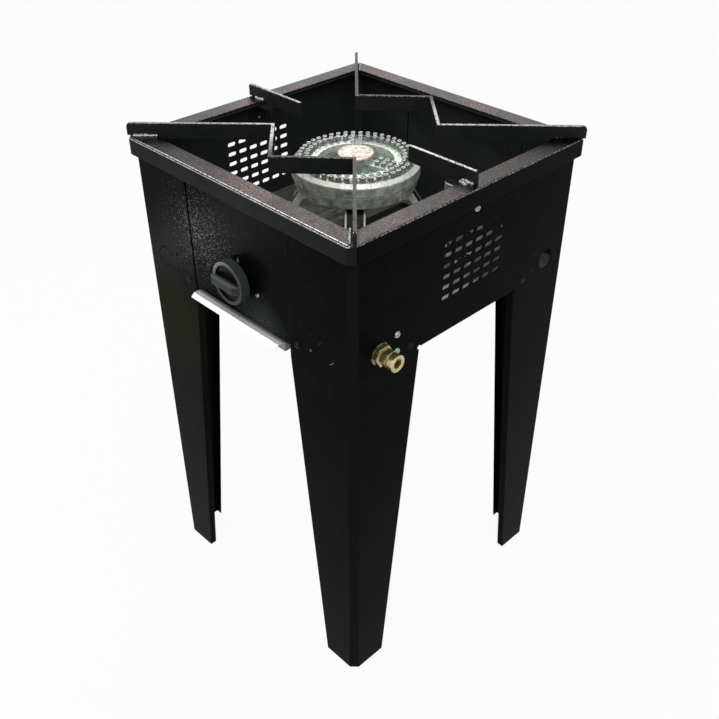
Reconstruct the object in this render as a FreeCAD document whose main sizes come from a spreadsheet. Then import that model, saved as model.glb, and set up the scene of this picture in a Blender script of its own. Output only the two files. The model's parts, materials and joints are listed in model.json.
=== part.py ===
import FreeCAD, Part
import math
import os
import Sketcher

# Outdoor gas burner on four folded sheet legs: a square black box with a
# folded rim, M shaped pot supports, a cast ring burner with rows of jets,
# a gas valve with its knob, a brass inlet and a drip tray that pulls out.
# Frame: origin at the centre of the feet, Z up, knob towards -Y, inlet on +X.

V = FreeCAD.Vector
doc = FreeCAD.newDocument("OutdoorGasBurner")
sheet = doc.addObject("Spreadsheet::Sheet", "Sizes")
sheet_rows = []


def size(alias, value, note):
    """Write one driving size into the sheet and return it as a number."""
    row = len(sheet_rows) + 1
    sheet_rows.append(alias)
    sheet.set("A%d" % row, alias)
    sheet.set("B%d" % row, str(value))
    sheet.setAlias("B%d" % row, alias)
    sheet.set("C%d" % row, note)
    return float(value)


# Rim frame
rim_top = size("rim_top", 682, "height of the rim's top face above the ground")
rim_sheet = size("rim_sheet", 3, "thickness of the rim's angle profile")
rim_gap = size("rim_gap", 2.25, "clearance between the rim's lip and the box")
rim_flange = size("rim_flange", 25, "width of the rim's flat top")
rim_ledge = size("rim_ledge", 4, "width of the thin ledge beyond the flat top")
ledge_sheet = size("ledge_sheet", 1.2, "thickness of that ledge")
ledge_lap = size("ledge_lap", 10, "width of the ledge under the flat top")
rim_lip = size("rim_lip", 22, "height of the rim's outer lip")
rim_corner = size("rim_corner", 8, "chamfer of the rim's corners")
rim_bend = size("rim_bend", 2.5, "outer radius of the rim's long bend")

# Folded sheet box and legs
body_width = size("body_width", 389.5, "outer width and depth of the box")
panel_sheet = size("panel_sheet", 1.2, "thickness of the box's sheet")
corner_facet = size("corner_facet", 9, "width of the facet at each corner")
flange_width = size("flange_width", 103.75, "width of the front flanges")
panel_overlap = size("panel_overlap", 19, "front panel behind each flange")
box_height = size("box_height", 172, "front panel's lower edge below the rim's top")
foot_width = size("foot_width", 55, "width of each leg's face at the ground")
leg_width = size("leg_width", 107, "width of a leg's side face at its top")
side_drop = size("side_drop", 1.5, "side panels' lower edge below the front panel's")
side_taper_drop = size("side_taper_drop", 2.6, "side faces taper below that edge")
front_taper_drop = size("front_taper_drop", 15.4, "front flanges taper below that edge")
return_lip = size("return_lip", 10, "depth of the leg's folded edges")
relief_radius = size("relief_radius", 3, "radius of the bend relief at a leg's top")

# Holes that repeat near each leg
vent_length = size("vent_length", 13, "length of a vent slot")
vent_height = size("vent_height", 5.5, "height of a vent slot")
vent_pitch_across = size("vent_pitch_across", 18.28, "spacing of the vent columns")
vent_pitch_up = size("vent_pitch_up", 13.9, "spacing of the vent rows")
vent_count = int(size("vent_count", 6, "vent columns, and vent rows"))
vent_rise = size("vent_rise", 82, "middle of the vents above the front panel's edge")
knockout_radius = size("knockout_radius", 14, "radius of the gas knockout")
knockout_slit = size("knockout_slit", 1, "width of the slit round a knockout")
knockout_bridge = size("knockout_bridge", 50, "degrees of arc that hold a knockout")
inlet_edge = size("inlet_edge", 42.75, "gas inlet's axis from the box's corner")
inlet_rise = size("inlet_rise", 20, "gas inlet's axis above the front panel's edge")
bracket_hole_inset = size("bracket_hole_inset", 26, "bracket holes from the inlet's axis")
bracket_hole_above = size("bracket_hole_above", 13.6, "upper bracket hole above that axis")
bracket_hole_below = size("bracket_hole_below", 9.2, "lower bracket hole below that axis")
pan_hole_edge = size("pan_hole_edge", 90.75, "pan screws from the box's corner")
pan_hole_rise = size("pan_hole_rise", 7.5, "pan screws above the front panel's edge")
support_hole_drop = size("support_hole_drop", 27.5, "support screws below the rim's top")
screw_radius = size("screw_radius", 2, "shank radius of the sheet screws")
screw_clearance = size("screw_clearance", 0.2, "hole radius over shank radius")
screw_head = size("screw_head", 4.2, "radius of a pan head")
screw_head_height = size("screw_head_height", 2.4, "height of a pan head")
screw_short = size("screw_short", 6, "length of the pan, stand and valve screws")
screw_middle = size("screw_middle", 7, "length of the bracket screws")
screw_long = size("screw_long", 8, "length of the support screws")

# Floor pan, drip tray and runners
pan_sheet = size("pan_sheet", 0.8, "thickness of the galvanised sheet")
pan_opening = size("pan_opening", 73, "half width of the opening over the tray")
pan_margin = size("pan_margin", 24.35, "floor in front of that opening and behind it")
pan_wall = size("pan_wall", 24, "height of the pan's side walls")
pan_wall_lap = size("pan_wall_lap", 8, "side walls beyond their screws")
pan_tab = size("pan_tab", 24, "width of the pan's front and back tabs")
pan_corner = size("pan_corner", 14, "chamfer of the pan's corners")
tray_lap = size("tray_lap", 8.5, "tray beyond the opening's side")
tray_depth = size("tray_depth", 12, "height of the drip tray's walls")
tray_end_lap = size("tray_end_lap", 18, "tray beyond the opening's back")
tray_front_gap = size("tray_front_gap", 0.25, "clearance of the handle before the box")
tray_gap = size("tray_gap", 0.5, "clearance over and beside the tray")
tray_under_gap = size("tray_under_gap", 0.3, "clearance under the tray")
tray_handle_flat = size("tray_handle_flat", 10, "flat part of the tray's handle")
tray_handle_slope = size("tray_handle_slope", 5, "sloped part of the handle")
runner_foot = size("runner_foot", 8, "width of the runner's foot under the tray")
runner_flange = size("runner_flange", 12, "width of the runner's top flange")
runner_margin = size("runner_margin", 12.35, "clearance from a runner to the panels")

# Pot supports
bar_thickness = size("bar_thickness", 4, "thickness of the support bars")
bar_height = size("bar_height", 20, "height of the support bars")
bar_rise = size("bar_rise", 15.5, "top of the bars above the rim")
bar_end_inset = size("bar_end_inset", 4, "corner ends of the bent bars inside the rim's edge")
bar_bend = size("bar_bend", 71, "inner bends of a bent bar from both axes")
bar_valley = size("bar_valley", 136, "middle bend of a bent bar from the axis")
bar_end_round = size("bar_end_round", 5, "rounding of the bars' outer ends")
straight_length = size("straight_length", 102, "length of a straight bar")
straight_inset = size("straight_inset", 2.5, "outer ends of the straight bars inside the rim's edge")
straight_shift = size("straight_shift", 6, "both straight bars moved towards the left")
strap_sheet = size("strap_sheet", 2, "thickness of the folded strap under a straight bar")
strap_width = size("strap_width", 26, "width of that strap")
strap_reach = size("strap_reach", 42, "level part of the strap from the side panel")
strap_lip = size("strap_lip", 11, "depth of the strap's folded end")
strap_round = size("strap_round", 9, "rounding of the strap's free corners")
strap_margin = size("strap_margin", 10, "strap below its screw")
strap_gap = size("strap_gap", 0.3, "clearance of the strap under the rim's ledge")
notch_gap = size("notch_gap", 0.5, "clearance of a bar at the rim's edge")

# Burner
burner_drop = size("burner_drop", 71, "underside of the cast burner below the rim's top")
part_line = size("part_line", 26, "parting face above the burner's underside")
ring_outer = size("ring_outer", 81, "outer radius of the ring")
ring_inner = size("ring_inner", 48, "inner radius of the ring")
ring_wall = size("ring_wall", 4, "wall of the castings")
ring_face = size("ring_face", 74.5, "outer radius of the ring's flat face")
head_height = size("head_height", 16, "height of the head above the parting face")
head_draft = size("head_draft", 0.5, "taper of the head's side")
base_foot = size("base_foot", 6, "width of the base's level underside")
base_knee = size("base_knee", 21, "knee of the base's underside from its outer radius")
base_knee_rise = size("base_knee_rise", 2, "height of that knee")
base_belly = size("base_belly", 5, "belly of the base from its outer radius")
base_belly_rise = size("base_belly_rise", 10, "height of the belly")
base_shoulder = size("base_shoulder", 3, "straight edge below the parting face")
base_draft = size("base_draft", 1, "taper above the belly")
hub_radius = size("hub_radius", 20.5, "radius of the hub")
hub_height = size("hub_height", 20, "height of the hub above the parting face")
spoke_width = size("spoke_width", 18, "width of the spokes")
spoke_azimuth = size("spoke_azimuth", 14.7, "azimuth of the first spoke")
lug_azimuth = size("lug_azimuth", -2.5, "azimuth of the lug at the parting face")
lug_depth = size("lug_depth", 5, "depth of the lug")
lug_width = size("lug_width", 4, "width of the lug")
jet_radius = size("jet_radius", 3.1, "radius of a jet at its foot")
jet_tip = size("jet_tip", 2.8, "radius of a jet at its tip")
jet_height = size("jet_height", 5.7, "height of a jet")
outer_row = size("outer_row", 69.8, "radius of the outer row of jets")
inner_row = size("inner_row", 61, "radius of the inner row of jets")
outer_count = int(size("outer_count", 45, "jets in the outer row"))
inner_count = int(size("inner_count", 39, "jets in the inner row"))
spoke_row_first = size("spoke_row_first", 33, "radius of a spoke's first jets")
spoke_row_pitch = size("spoke_row_pitch", 9.2, "spacing of the jets on a spoke")
spoke_row_side = size("spoke_row_side", 5, "jets from a spoke's middle line")
cap_radius = size("cap_radius", 23, "radius of the cap on the hub")
cap_height = size("cap_height", 4.8, "thickness of the cap")
cap_spigot = size("cap_spigot", 9, "radius of the cap's spigot")
cap_depth = size("cap_depth", 5, "depth of the cap's spigot")
cap_edge = size("cap_edge", 1, "chamfer of the cap's edge")
mixer_radius = size("mixer_radius", 15, "outer radius of the mixing tube")
mixer_wall = size("mixer_wall", 3, "wall of the mixing tube")
mixer_rise = size("mixer_rise", 11, "foot of the mixing tube above the feed tube's axis")
mixer_seat = size("mixer_seat", 12, "depth of the tube's seat in the hub")
mixer_window = size("mixer_window", 10, "width of the air windows")
fit_gap = size("fit_gap", 0.05, "radial clearance of turned fits")

# Stand under the burner
stand_sheet = size("stand_sheet", 2, "thickness of the stand")
stand_width = size("stand_width", 25, "width of the stand's legs")
stand_lip = size("stand_lip", 6, "depth of the stand's folded edges")
stand_hub = size("stand_hub", 40, "radius of the stand's middle plate")
stand_hole = size("stand_hole", 22, "radius of the hole for the mixing tube")
stand_knee = size("stand_knee", 72, "radius where the legs bend down")
stand_foot = size("stand_foot", 134, "radius where the legs meet the floor")
stand_toe = size("stand_toe", 18, "length of the feet")
stand_lap = size("stand_lap", 6, "legs under the middle plate's edge")

# Gas train
valve_rise = size("valve_rise", 51, "knob's axis above the front panel's edge")
valve_front = size("valve_front", 9, "radius of the valve's neck")
valve_body_radius = size("valve_body_radius", 13, "radius of the valve's barrel")
valve_neck_length = size("valve_neck_length", 8, "length of the valve's neck")
valve_length = size("valve_length", 50, "length of the valve behind the panel")
valve_ear = size("valve_ear", 42, "reach of the valve's plate")
valve_screw_offset = size("valve_screw_offset", 35, "valve screw from the axis")
valve_screw_drop = size("valve_screw_drop", 8, "valve screw below the axis")
plug_radius = size("plug_radius", 7, "radius of the valve's plug")
plug_length = size("plug_length", 24, "length of the valve's plug")
plug_bore = size("plug_bore", 18, "depth of the stem's seat in the plug")
port_reach = size("port_reach", 2, "side port beyond the valve's barrel")
outlet_reach = size("outlet_reach", 12, "length of the valve's outlet")
stem_hole_gap = size("stem_hole_gap", 2, "clearance of the panel's hole round the stem")
stem_end_gap = size("stem_end_gap", 1, "clearance behind and before the stem's ends")
stem_radius = size("stem_radius", 4, "radius of the valve's stem")
stem_flat = size("stem_flat", 2.6, "flat of the stem from its axis")
knob_travel = size("knob_travel", 3, "push of the knob")
knob_gap = size("knob_gap", 5.95, "knob's back from the panel's face")
knob_radius = size("knob_radius", 28, "radius of the knob's back")
knob_draft = size("knob_draft", 1, "taper of the knob over its depth")
knob_depth = size("knob_depth", 12, "depth of the knob's disc")
knob_recess = size("knob_recess", 3, "depth of the knob's recessed face")
knob_wall = size("knob_wall", 2.5, "wall of the knob")
knob_rim = size("knob_rim", 4.5, "width of the rim round the knob's face")
knob_round = size("knob_round", 1.8, "rounding of that rim")
knob_boss = size("knob_boss", 3, "wall round the stem's seat in the knob")
knob_boss_inset = size("knob_boss_inset", 1, "boss before the knob's back")
grip_width = size("grip_width", 10, "width of the knob's grip")
grip_height = size("grip_height", 7, "height of the grip over the disc")
grip_slope = size("grip_slope", 5, "run of the grip's left end")
grip_shoulder = size("grip_shoulder", 4, "height of the left end over the disc")
grip_pointer = size("grip_pointer", 8, "run of the grip's right end, which points")
grip_round = size("grip_round", 1, "rounding of the grip's long edges")
pipe_radius = size("pipe_radius", 5, "outer radius of the inlet pipe")
pipe_wall = size("pipe_wall", 1, "wall of both pipes")
pipe_bend = size("pipe_bend", 16, "bend radius of the inlet pipe")
feed_radius = size("feed_radius", 4, "outer radius of the feed tube")
elbow_radius = size("elbow_radius", 8, "radius of the injector's elbow")
elbow_reach = size("elbow_reach", 2, "stop of the feed tube from the elbow's body")
nozzle_height = size("nozzle_height", 10, "injector above the mixing tube's foot")
nozzle_tip = size("nozzle_tip", 2, "radius of the injector's tip")
nozzle_taper = size("nozzle_taper", 4, "height of the injector's cone")
socket_depth = size("socket_depth", 8, "depth of the pipes in their sockets")
bracket_sheet = size("bracket_sheet", 2, "thickness of the inlet bracket")
bracket_lap = size("bracket_lap", 2, "bracket beyond the knockout")
bracket_margin = size("bracket_margin", 6, "bracket beyond its screws' heads")
fitting_length = size("fitting_length", 30, "length of the inlet's fitting inside its bracket")
fitting_collar = size("fitting_collar", 10, "length of the fitting's hexagon")
fitting_reach = size("fitting_reach", 3, "thread of the fitting inside the outer one")
port_wall = size("port_wall", 3, "wall of the ports and sockets")
thread_radius = size("thread_radius", 8, "radius of the inlet's thread")
nut_flats = size("nut_flats", 23, "across flats of the lock nut")
nut_length = size("nut_length", 7.5, "length of the lock nut")
adaptor_flats = size("adaptor_flats", 19, "across flats of the outer fitting")
adaptor_hex = size("adaptor_hex", 10, "length of its hexagon")
adaptor_groove = size("adaptor_groove", 2, "length of its groove")
groove_depth = size("groove_depth", 2, "depth of its groove")
adaptor_end = size("adaptor_end", 8, "length of its threaded end")
adaptor_radius = size("adaptor_radius", 10.4, "radius of its threaded end")
adaptor_bore = size("adaptor_bore", 6, "radius of its bore")

doc.recompute()

# Positions that follow from the sizes above
rim_under = rim_top - rim_sheet
body_half = body_width / 2
side_inner = body_half - panel_sheet
panel_inner = side_inner - panel_sheet
rim_half = body_half + rim_gap + rim_sheet
flange_inner = rim_half - rim_flange - rim_ledge
panel_bottom = rim_top - box_height
side_bottom = panel_bottom - side_drop
side_taper = panel_bottom - side_taper_drop
front_taper = panel_bottom - front_taper_drop
flange_edge = body_half - flange_width
vent_middle = panel_bottom + vent_rise
inlet_offset = body_half - inlet_edge
inlet_height = panel_bottom + inlet_rise
bracket_hole_offset = inlet_offset - bracket_hole_inset
bracket_hole_high = inlet_height + bracket_hole_above
bracket_hole_low = inlet_height - bracket_hole_below
pan_hole_offset = body_half - pan_hole_edge
pan_hole_height = panel_bottom + pan_hole_rise
support_hole_height = rim_top - support_hole_drop
pan_opening_length = panel_inner - pan_margin
pan_wall_end = pan_hole_offset + pan_wall_lap
bar_end_x = rim_half
bar_end_y = rim_half - bar_end_inset
straight_outer = rim_half - straight_inset
straight_inner = straight_outer - straight_length
strap_top = rim_under - ledge_sheet - strap_gap
burner_bottom = rim_top - burner_drop
valve_height = panel_bottom + valve_rise
valve_port = panel_inner - inlet_offset
leg_top_half = body_half - leg_width
foot_half = body_half - foot_width
pan_top = panel_bottom + pan_sheet
bar_top = rim_top + bar_rise
bar_bottom = bar_top - bar_height
tray_top = panel_bottom - tray_gap
tray_bottom = tray_top - tray_depth
tray_half = pan_opening + tray_lap
tray_end = pan_opening_length + tray_end_lap
runner_half = panel_inner - runner_margin
valve_depth = -panel_inner
head_base = burner_bottom + part_line
mixer_bottom = valve_height + mixer_rise
mixer_length = burner_bottom + mixer_seat - mixer_bottom
hole_radius = screw_radius + screw_clearance


# Builders shared by the sub-parts
def new_body(label):
    """Start one sub-part."""
    body = doc.addObject("PartDesign::Body", label)
    body.Label = label
    return body


def origin_part(body, role):
    """Return the axis or plane of a body's own origin."""
    for feature in body.Origin.OriginFeatures:
        if feature.Role == role:
            return feature
    raise ValueError(role)


def new_sketch(body, role, offset=0.0):
    """Open a sketch on one of the body's planes, moved along its normal."""
    sketch = body.newObject("Sketcher::SketchObject", body.Label + "_sketch")
    sketch.AttachmentSupport = [(origin_part(body, role), "")]
    sketch.MapMode = "FlatFace"
    sketch.AttachmentOffset = FreeCAD.Placement(V(0, 0, offset), FreeCAD.Rotation())
    return sketch


def add_polygon(sketch, points):
    """Draw a closed polygon whose corners coincide."""
    first = sketch.GeometryCount
    total = len(points)
    for index in range(total):
        start = V(points[index][0], points[index][1], 0)
        nxt = points[(index + 1) % total]
        sketch.addGeometry(Part.LineSegment(start, V(nxt[0], nxt[1], 0)), False)
    for index in range(total):
        follower = first + (index + 1) % total
        sketch.addConstraint(Sketcher.Constraint("Coincident", first + index, 2, follower, 1))


def add_circle(sketch, x, y, radius):
    """Draw one circle."""
    sketch.addGeometry(Part.Circle(V(x, y, 0), V(0, 0, 1), radius), False)


def add_slot(sketch, x, y, length, height):
    """Draw a level slot with round ends."""
    reach = (length - height) / 2
    radius = height / 2
    up = V(0, 0, 1)
    right = Part.Circle(V(x + reach, y, 0), up, radius)
    left = Part.Circle(V(x - reach, y, 0), up, radius)
    quarter = math.pi / 2
    sketch.addGeometry(Part.ArcOfCircle(right, -quarter, quarter), False)
    sketch.addGeometry(Part.ArcOfCircle(left, quarter, 3 * quarter), False)
    top = Part.LineSegment(V(x + reach, y + radius, 0), V(x - reach, y + radius, 0))
    low = Part.LineSegment(V(x - reach, y - radius, 0), V(x + reach, y - radius, 0))
    sketch.addGeometry(top, False)
    sketch.addGeometry(low, False)


def add_open_ring(sketch, x, y, radius, width, start, end):
    """Draw a ring slit that stops short of closing, as round a knockout."""
    up = V(0, 0, 1)
    outer = Part.Circle(V(x, y, 0), up, radius)
    inner = Part.Circle(V(x, y, 0), up, radius - width)
    begin = math.radians(start)
    stop = math.radians(end)
    sketch.addGeometry(Part.ArcOfCircle(outer, begin, stop), False)
    sketch.addGeometry(Part.ArcOfCircle(inner, begin, stop), False)
    for angle in (begin, stop):
        arm = V(math.cos(angle), math.sin(angle), 0)
        near = V(x, y, 0) + arm * (radius - width)
        far = V(x, y, 0) + arm * radius
        sketch.addGeometry(Part.LineSegment(near, far), False)


def hexagon(x, y, flats):
    """Corners of a hexagon by its width across flats."""
    radius = flats / math.sqrt(3)
    angles = [math.radians(60 * step) for step in range(6)]
    return [(x + radius * math.cos(a), y + radius * math.sin(a)) for a in angles]


def square(half):
    """Corners of a centred square."""
    return [(-half, -half), (half, -half), (half, half), (-half, half)]


def chamfered_square(half, cut):
    """Corners of a centred square whose corners are cut at 45 degrees."""
    near = half - cut
    points = []
    for sx, sy in ((1, -1), (1, 1), (-1, 1), (-1, -1)):
        along = (sx * near, sy * half)
        up = (sx * half, sy * near)
        points.extend([along, up] if sx * sy < 0 else [up, along])
    return points


def band(path, inner, outer):
    """Widen an open path into a closed polygon, with mitred corners."""
    left = offset_path(path, inner)
    right = offset_path(path, outer)
    return left + right[::-1]


def offset_path(path, distance):
    """Move an open path sideways, to its left for a positive distance."""
    moved = []
    last = len(path) - 1
    for index, point in enumerate(path):
        normals = []
        for first in (index - 1, index):
            if 0 <= first < last:
                dx = path[first + 1][0] - path[first][0]
                dy = path[first + 1][1] - path[first][1]
                run = math.hypot(dx, dy)
                normals.append((-dy / run, dx / run))
        nx = sum(n[0] for n in normals)
        ny = sum(n[1] for n in normals)
        scale = distance * len(normals) / (nx * nx + ny * ny)
        moved.append((point[0] + nx * scale, point[1] + ny * scale))
    return moved


def pad(body, sketch, length, symmetric=False, flip=False):
    """Extrude a sketch; length is an expression of the sheet or a number."""
    feature = body.newObject("PartDesign::Pad", body.Label + "_pad")
    feature.Profile = sketch
    feature.SideType = "Symmetric" if symmetric else "One side"
    feature.Reversed = flip
    set_length(feature, length)
    finish_feature(body, feature)
    return feature


def set_length(feature, length):
    """Give a feature's length by expression where it has one."""
    if isinstance(length, str):
        feature.setExpression("Length", length)
    else:
        feature.Length = length


def finish_feature(body, feature):
    """Recompute and make the feature the body's tip."""
    body.Tip = feature
    doc.recompute()


def pocket(body, sketch, length=None, symmetric=False, flip=False):
    """Cut a sketch out; without a length it goes through both ways."""
    before = body.Shape.Volume
    feature = body.newObject("PartDesign::Pocket", body.Label + "_pocket")
    feature.Profile = sketch
    if length is None:
        feature.SideType = "Two sides"
        feature.Type = "ThroughAll"
        feature.Type2 = "ThroughAll"
    else:
        feature.SideType = "Symmetric" if symmetric else "One side"
        feature.Reversed = flip
        set_length(feature, length)
    finish_feature(body, feature)
    if body.Shape.Volume > before - 0.01:
        raise ValueError("nothing cut in " + body.Label)
    return feature


def revolve(body, sketch, axis="V_Axis"):
    """Turn a sketch round one of its own axes."""
    feature = body.newObject("PartDesign::Revolution", body.Label + "_turn")
    feature.Profile = sketch
    feature.ReferenceAxis = (sketch, [axis])
    feature.Angle = 360
    finish_feature(body, feature)
    return feature


def polar(body, originals, count, axis="Z_Axis"):
    """Repeat features evenly round an axis of the body."""
    feature = body.newObject("PartDesign::PolarPattern", body.Label + "_polar")
    feature.Originals = originals
    feature.Axis = (origin_part(body, axis), [""])
    feature.Angle = 360
    feature.Occurrences = count
    finish_feature(body, feature)
    return feature


def fillet(body, edges, radius):
    """Round edges of the body's last feature."""
    base = body.Tip
    feature = body.newObject("PartDesign::Fillet", body.Label + "_round")
    feature.Base = (base, edges)
    feature.setExpression("Radius", radius)
    finish_feature(body, feature)
    return feature


def place(body, x=0.0, y=0.0, z=0.0, axis=V(0, 0, 1), angle=0.0):
    """Put a finished sub-part in its place."""
    body.Placement = FreeCAD.Placement(V(x, y, z), FreeCAD.Rotation(axis, angle))
    return body


def cylinder_pad(body, role, x, y, radius, start, length, flip=False):
    """Add a round boss on a plane of the body."""
    sketch = new_sketch(body, role, start)
    add_circle(sketch, x, y, radius)
    return pad(body, sketch, length, flip=flip)


def cylinder_cut(body, role, x, y, radius, start, length, flip=False):
    """Cut a round hole from a plane of the body."""
    sketch = new_sketch(body, role, start)
    add_circle(sketch, x, y, radius)
    return pocket(body, sketch, length, flip=flip)


# Folded box: two side panels that carry the legs, front and back panels
def leg_cuts_side(body, side):
    """Open the space between the legs on a side face."""
    cut = new_sketch(body, "YZ_Plane", side * (side_inner - return_lip))
    points = [(-foot_half, -1), (-foot_half, 0), (-leg_top_half, side_taper)]
    points.append((relief_radius - leg_top_half, side_bottom))
    mirrored = [(-y, z) for y, z in reversed(points)]
    add_polygon(cut, points + mirrored)
    pocket(body, cut, 2 * return_lip, flip=side > 0)
    relief = new_sketch(body, "YZ_Plane", side * (side_inner - return_lip))
    for end in (-1, 1):
        add_circle(relief, end * leg_top_half, side_taper, relief_radius)
    pocket(body, relief, 2 * return_lip, flip=side > 0)


def leg_cuts_front(body, side):
    """Taper the flanges that the legs turn round the corners."""
    cut = new_sketch(body, "XZ_Plane")
    start = side * flange_edge
    points = [(side * (flange_edge - 1), -1), (side * foot_half, -1)]
    points.extend([(side * foot_half, 0), (start, front_taper)])
    points.append((side * (flange_edge - 1), front_taper))
    add_polygon(cut, points)
    pocket(body, cut)


def leg_lips_side(body, side):
    """Fold the legs' free edges inward on the side face."""
    top = side_taper - 2 * relief_radius
    share = top / side_taper
    top_half = foot_half + (leg_top_half - foot_half) * share
    for end in (-1, 1):
        lip = new_sketch(body, "YZ_Plane", side * side_inner)
        path = [(end * foot_half, 0), (end * top_half, top)]
        add_polygon(lip, band(path, 0, -end * panel_sheet))
        pad(body, lip, "Sizes.return_lip - Sizes.panel_sheet", flip=side > 0)


def leg_lips_front(body, side):
    """Fold the legs' free edges inward on the front and back flanges."""
    lip_top = panel_bottom - 2
    for face in (-1, 1):
        lip = new_sketch(body, "XZ_Plane", -face * side_inner)
        path = [(side * foot_half, 0), (side * flange_edge, front_taper)]
        path.append((side * flange_edge, lip_top))
        add_polygon(lip, band(path, 0, -side * panel_sheet))
        pad(body, lip, "Sizes.return_lip - Sizes.panel_sheet", flip=face < 0)


def vents(body, side):
    """Cut the field of vent slots."""
    sketch = new_sketch(body, "YZ_Plane", side * (side_inner - panel_sheet))
    across = (vent_count - 1) * vent_pitch_across
    up = (vent_count - 1) * vent_pitch_up
    add_slot(sketch, -across / 2, vent_middle - up / 2, vent_length, vent_height)
    first = pocket(body, sketch, 3 * panel_sheet, flip=side > 0)
    grid = body.newObject("PartDesign::LinearPattern", body.Label + "_vents")
    grid.Originals = [first]
    grid.Direction = (origin_part(body, "Y_Axis"), [""])
    grid.setExpression("Length", "Sizes.vent_pitch_across * (Sizes.vent_count - 1)")
    grid.setExpression("Occurrences", "Sizes.vent_count")
    grid.Direction2 = (origin_part(body, "Z_Axis"), [""])
    grid.setExpression("Length2", "Sizes.vent_pitch_up * (Sizes.vent_count - 1)")
    grid.setExpression("Occurrences2", "Sizes.vent_count")
    finish_feature(body, grid)


def side_holes(body, side, open_ends):
    """Cut the holes of a side face; some of its knockouts are pushed out."""
    sketch = new_sketch(body, "YZ_Plane", side * (side_inner - panel_sheet))
    for end in (-1, 1):
        add_circle(sketch, end * pan_hole_offset, pan_hole_height, hole_radius)
        add_circle(sketch, end * bracket_hole_offset, bracket_hole_high, hole_radius)
        add_circle(sketch, end * bracket_hole_offset, bracket_hole_low, hole_radius)
        if end in open_ends:
            add_circle(sketch, end * inlet_offset, inlet_height, knockout_radius)
        else:
            place_knockout(sketch, end * inlet_offset)
    add_circle(sketch, 0, support_hole_height, hole_radius)
    pocket(body, sketch, 3 * panel_sheet, flip=side > 0)


def place_knockout(sketch, across):
    """Draw the slit of a knockout that is still closed."""
    start = knockout_bridge / 2
    end = 360 - start
    add_open_ring(sketch, across, inlet_height, knockout_radius, knockout_slit, start, end)


def flange_holes(body, side):
    """Cut the holes of the front and back flanges."""
    sketch = new_sketch(body, "XZ_Plane")
    add_circle(sketch, side * pan_hole_offset, pan_hole_height, hole_radius)
    add_circle(sketch, side * bracket_hole_offset, bracket_hole_high, hole_radius)
    add_circle(sketch, side * bracket_hole_offset, bracket_hole_low, hole_radius)
    place_knockout(sketch, side * inlet_offset)
    pocket(body, sketch)


def side_panel(label, side, open_ends):
    """Make one side of the box with its two legs from one folded sheet."""
    body = new_body(label)
    profile = new_sketch(body, "XY_Plane")
    near = body_half - corner_facet
    path = [(side * flange_edge, -body_half), (side * near, -body_half)]
    path.extend([(side * body_half, -near), (side * body_half, near)])
    path.extend([(side * near, body_half), (side * flange_edge, body_half)])
    add_polygon(profile, band(path, 0, side * panel_sheet))
    pad(body, profile, "Sizes.rim_top - Sizes.rim_sheet")
    leg_cuts_side(body, side)
    leg_cuts_front(body, side)
    flange_holes(body, side)
    leg_lips_side(body, side)
    leg_lips_front(body, side)
    side_holes(body, side, open_ends)
    vents(body, side)
    return body


def cover_panel(label, face, with_valve):
    """Make the front or back panel, lapped behind the legs' flanges."""
    body = new_body(label)
    sketch = new_sketch(body, "XZ_Plane", 0)
    half = flange_edge + panel_overlap
    height = rim_under - panel_bottom
    add_polygon(sketch, [(-half, 0), (half, 0), (half, height), (-half, height)])
    for end in (-1, 1):
        add_circle(sketch, end * pan_hole_offset, pan_hole_height - panel_bottom, hole_radius)
    if with_valve:
        axis = valve_height - panel_bottom
        screw = axis - valve_screw_drop
        add_circle(sketch, 0, axis, stem_radius + stem_hole_gap)
        add_circle(sketch, valve_screw_offset, screw, hole_radius)
    pad(body, sketch, "Sizes.panel_sheet", flip=face > 0)
    return place(body, 0, face * panel_inner, panel_bottom)


def rim_frame():
    """Make the folded angle frame that closes the top of the box."""
    body = new_body("rim_frame")
    outline = new_sketch(body, "XY_Plane")
    add_polygon(outline, chamfered_square(rim_half, rim_corner))
    pad(body, outline, "Sizes.rim_lip")
    hollow = new_sketch(body, "XY_Plane")
    inner_cut = rim_corner - rim_sheet * (2 - math.sqrt(2))
    add_polygon(hollow, chamfered_square(rim_half - rim_sheet, inner_cut))
    pocket(body, hollow, "Sizes.rim_lip - Sizes.rim_sheet", flip=True)
    mouth = new_sketch(body, "XY_Plane")
    flat_inner = rim_half - rim_flange
    add_polygon(mouth, square(flat_inner))
    pocket(body, mouth)
    ledge = new_sketch(body, "XY_Plane", rim_lip - rim_sheet - ledge_sheet)
    add_polygon(ledge, square(flat_inner + ledge_lap))
    add_polygon(ledge, square(flange_inner))
    pad(body, ledge, "Sizes.ledge_sheet")
    round_top(body, rim_lip, rim_half - rim_sheet)
    return place(body, 0, 0, rim_top - rim_lip)


def round_top(body, height, beyond):
    """Round the outer edges at one height with the rim's bend radius."""
    names = []
    for index, edge in enumerate(body.Shape.Edges):
        box = edge.BoundBox
        flat = abs(box.ZMin - height) < 0.01 and abs(box.ZMax - height) < 0.01
        middle = edge.CenterOfMass
        if flat and max(abs(middle.x), abs(middle.y)) > beyond - rim_corner:
            names.append("Edge%d" % (index + 1))
    fillet(body, names, "Sizes.rim_bend")


# Pot supports welded on the rim
def bent_support(label, face):
    """Make a bar folded like an M, notched where it crosses the rim."""
    body = new_body(label)
    outline = new_sketch(body, "XY_Plane")
    path = [(-bar_end_x, face * bar_end_y), (-bar_bend, face * bar_bend)]
    path.append((0, face * bar_valley))
    path.extend([(bar_bend, face * bar_bend), (bar_end_x, face * bar_end_y)])
    half = bar_thickness / 2
    add_polygon(outline, band(path, half, -half))
    pad(body, outline, "Sizes.bar_height")
    notch = new_sketch(body, "XY_Plane")
    edge = flange_inner - notch_gap
    far = bar_end_x + bar_thickness
    for end in (-1, 1):
        add_polygon(notch, corner_notch(end * edge, face * edge, end * far, face * far))
    pocket(body, notch, rim_top - bar_bottom, flip=True)
    round_bar_ends(body)
    return place(body, 0, 0, bar_bottom)


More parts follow.
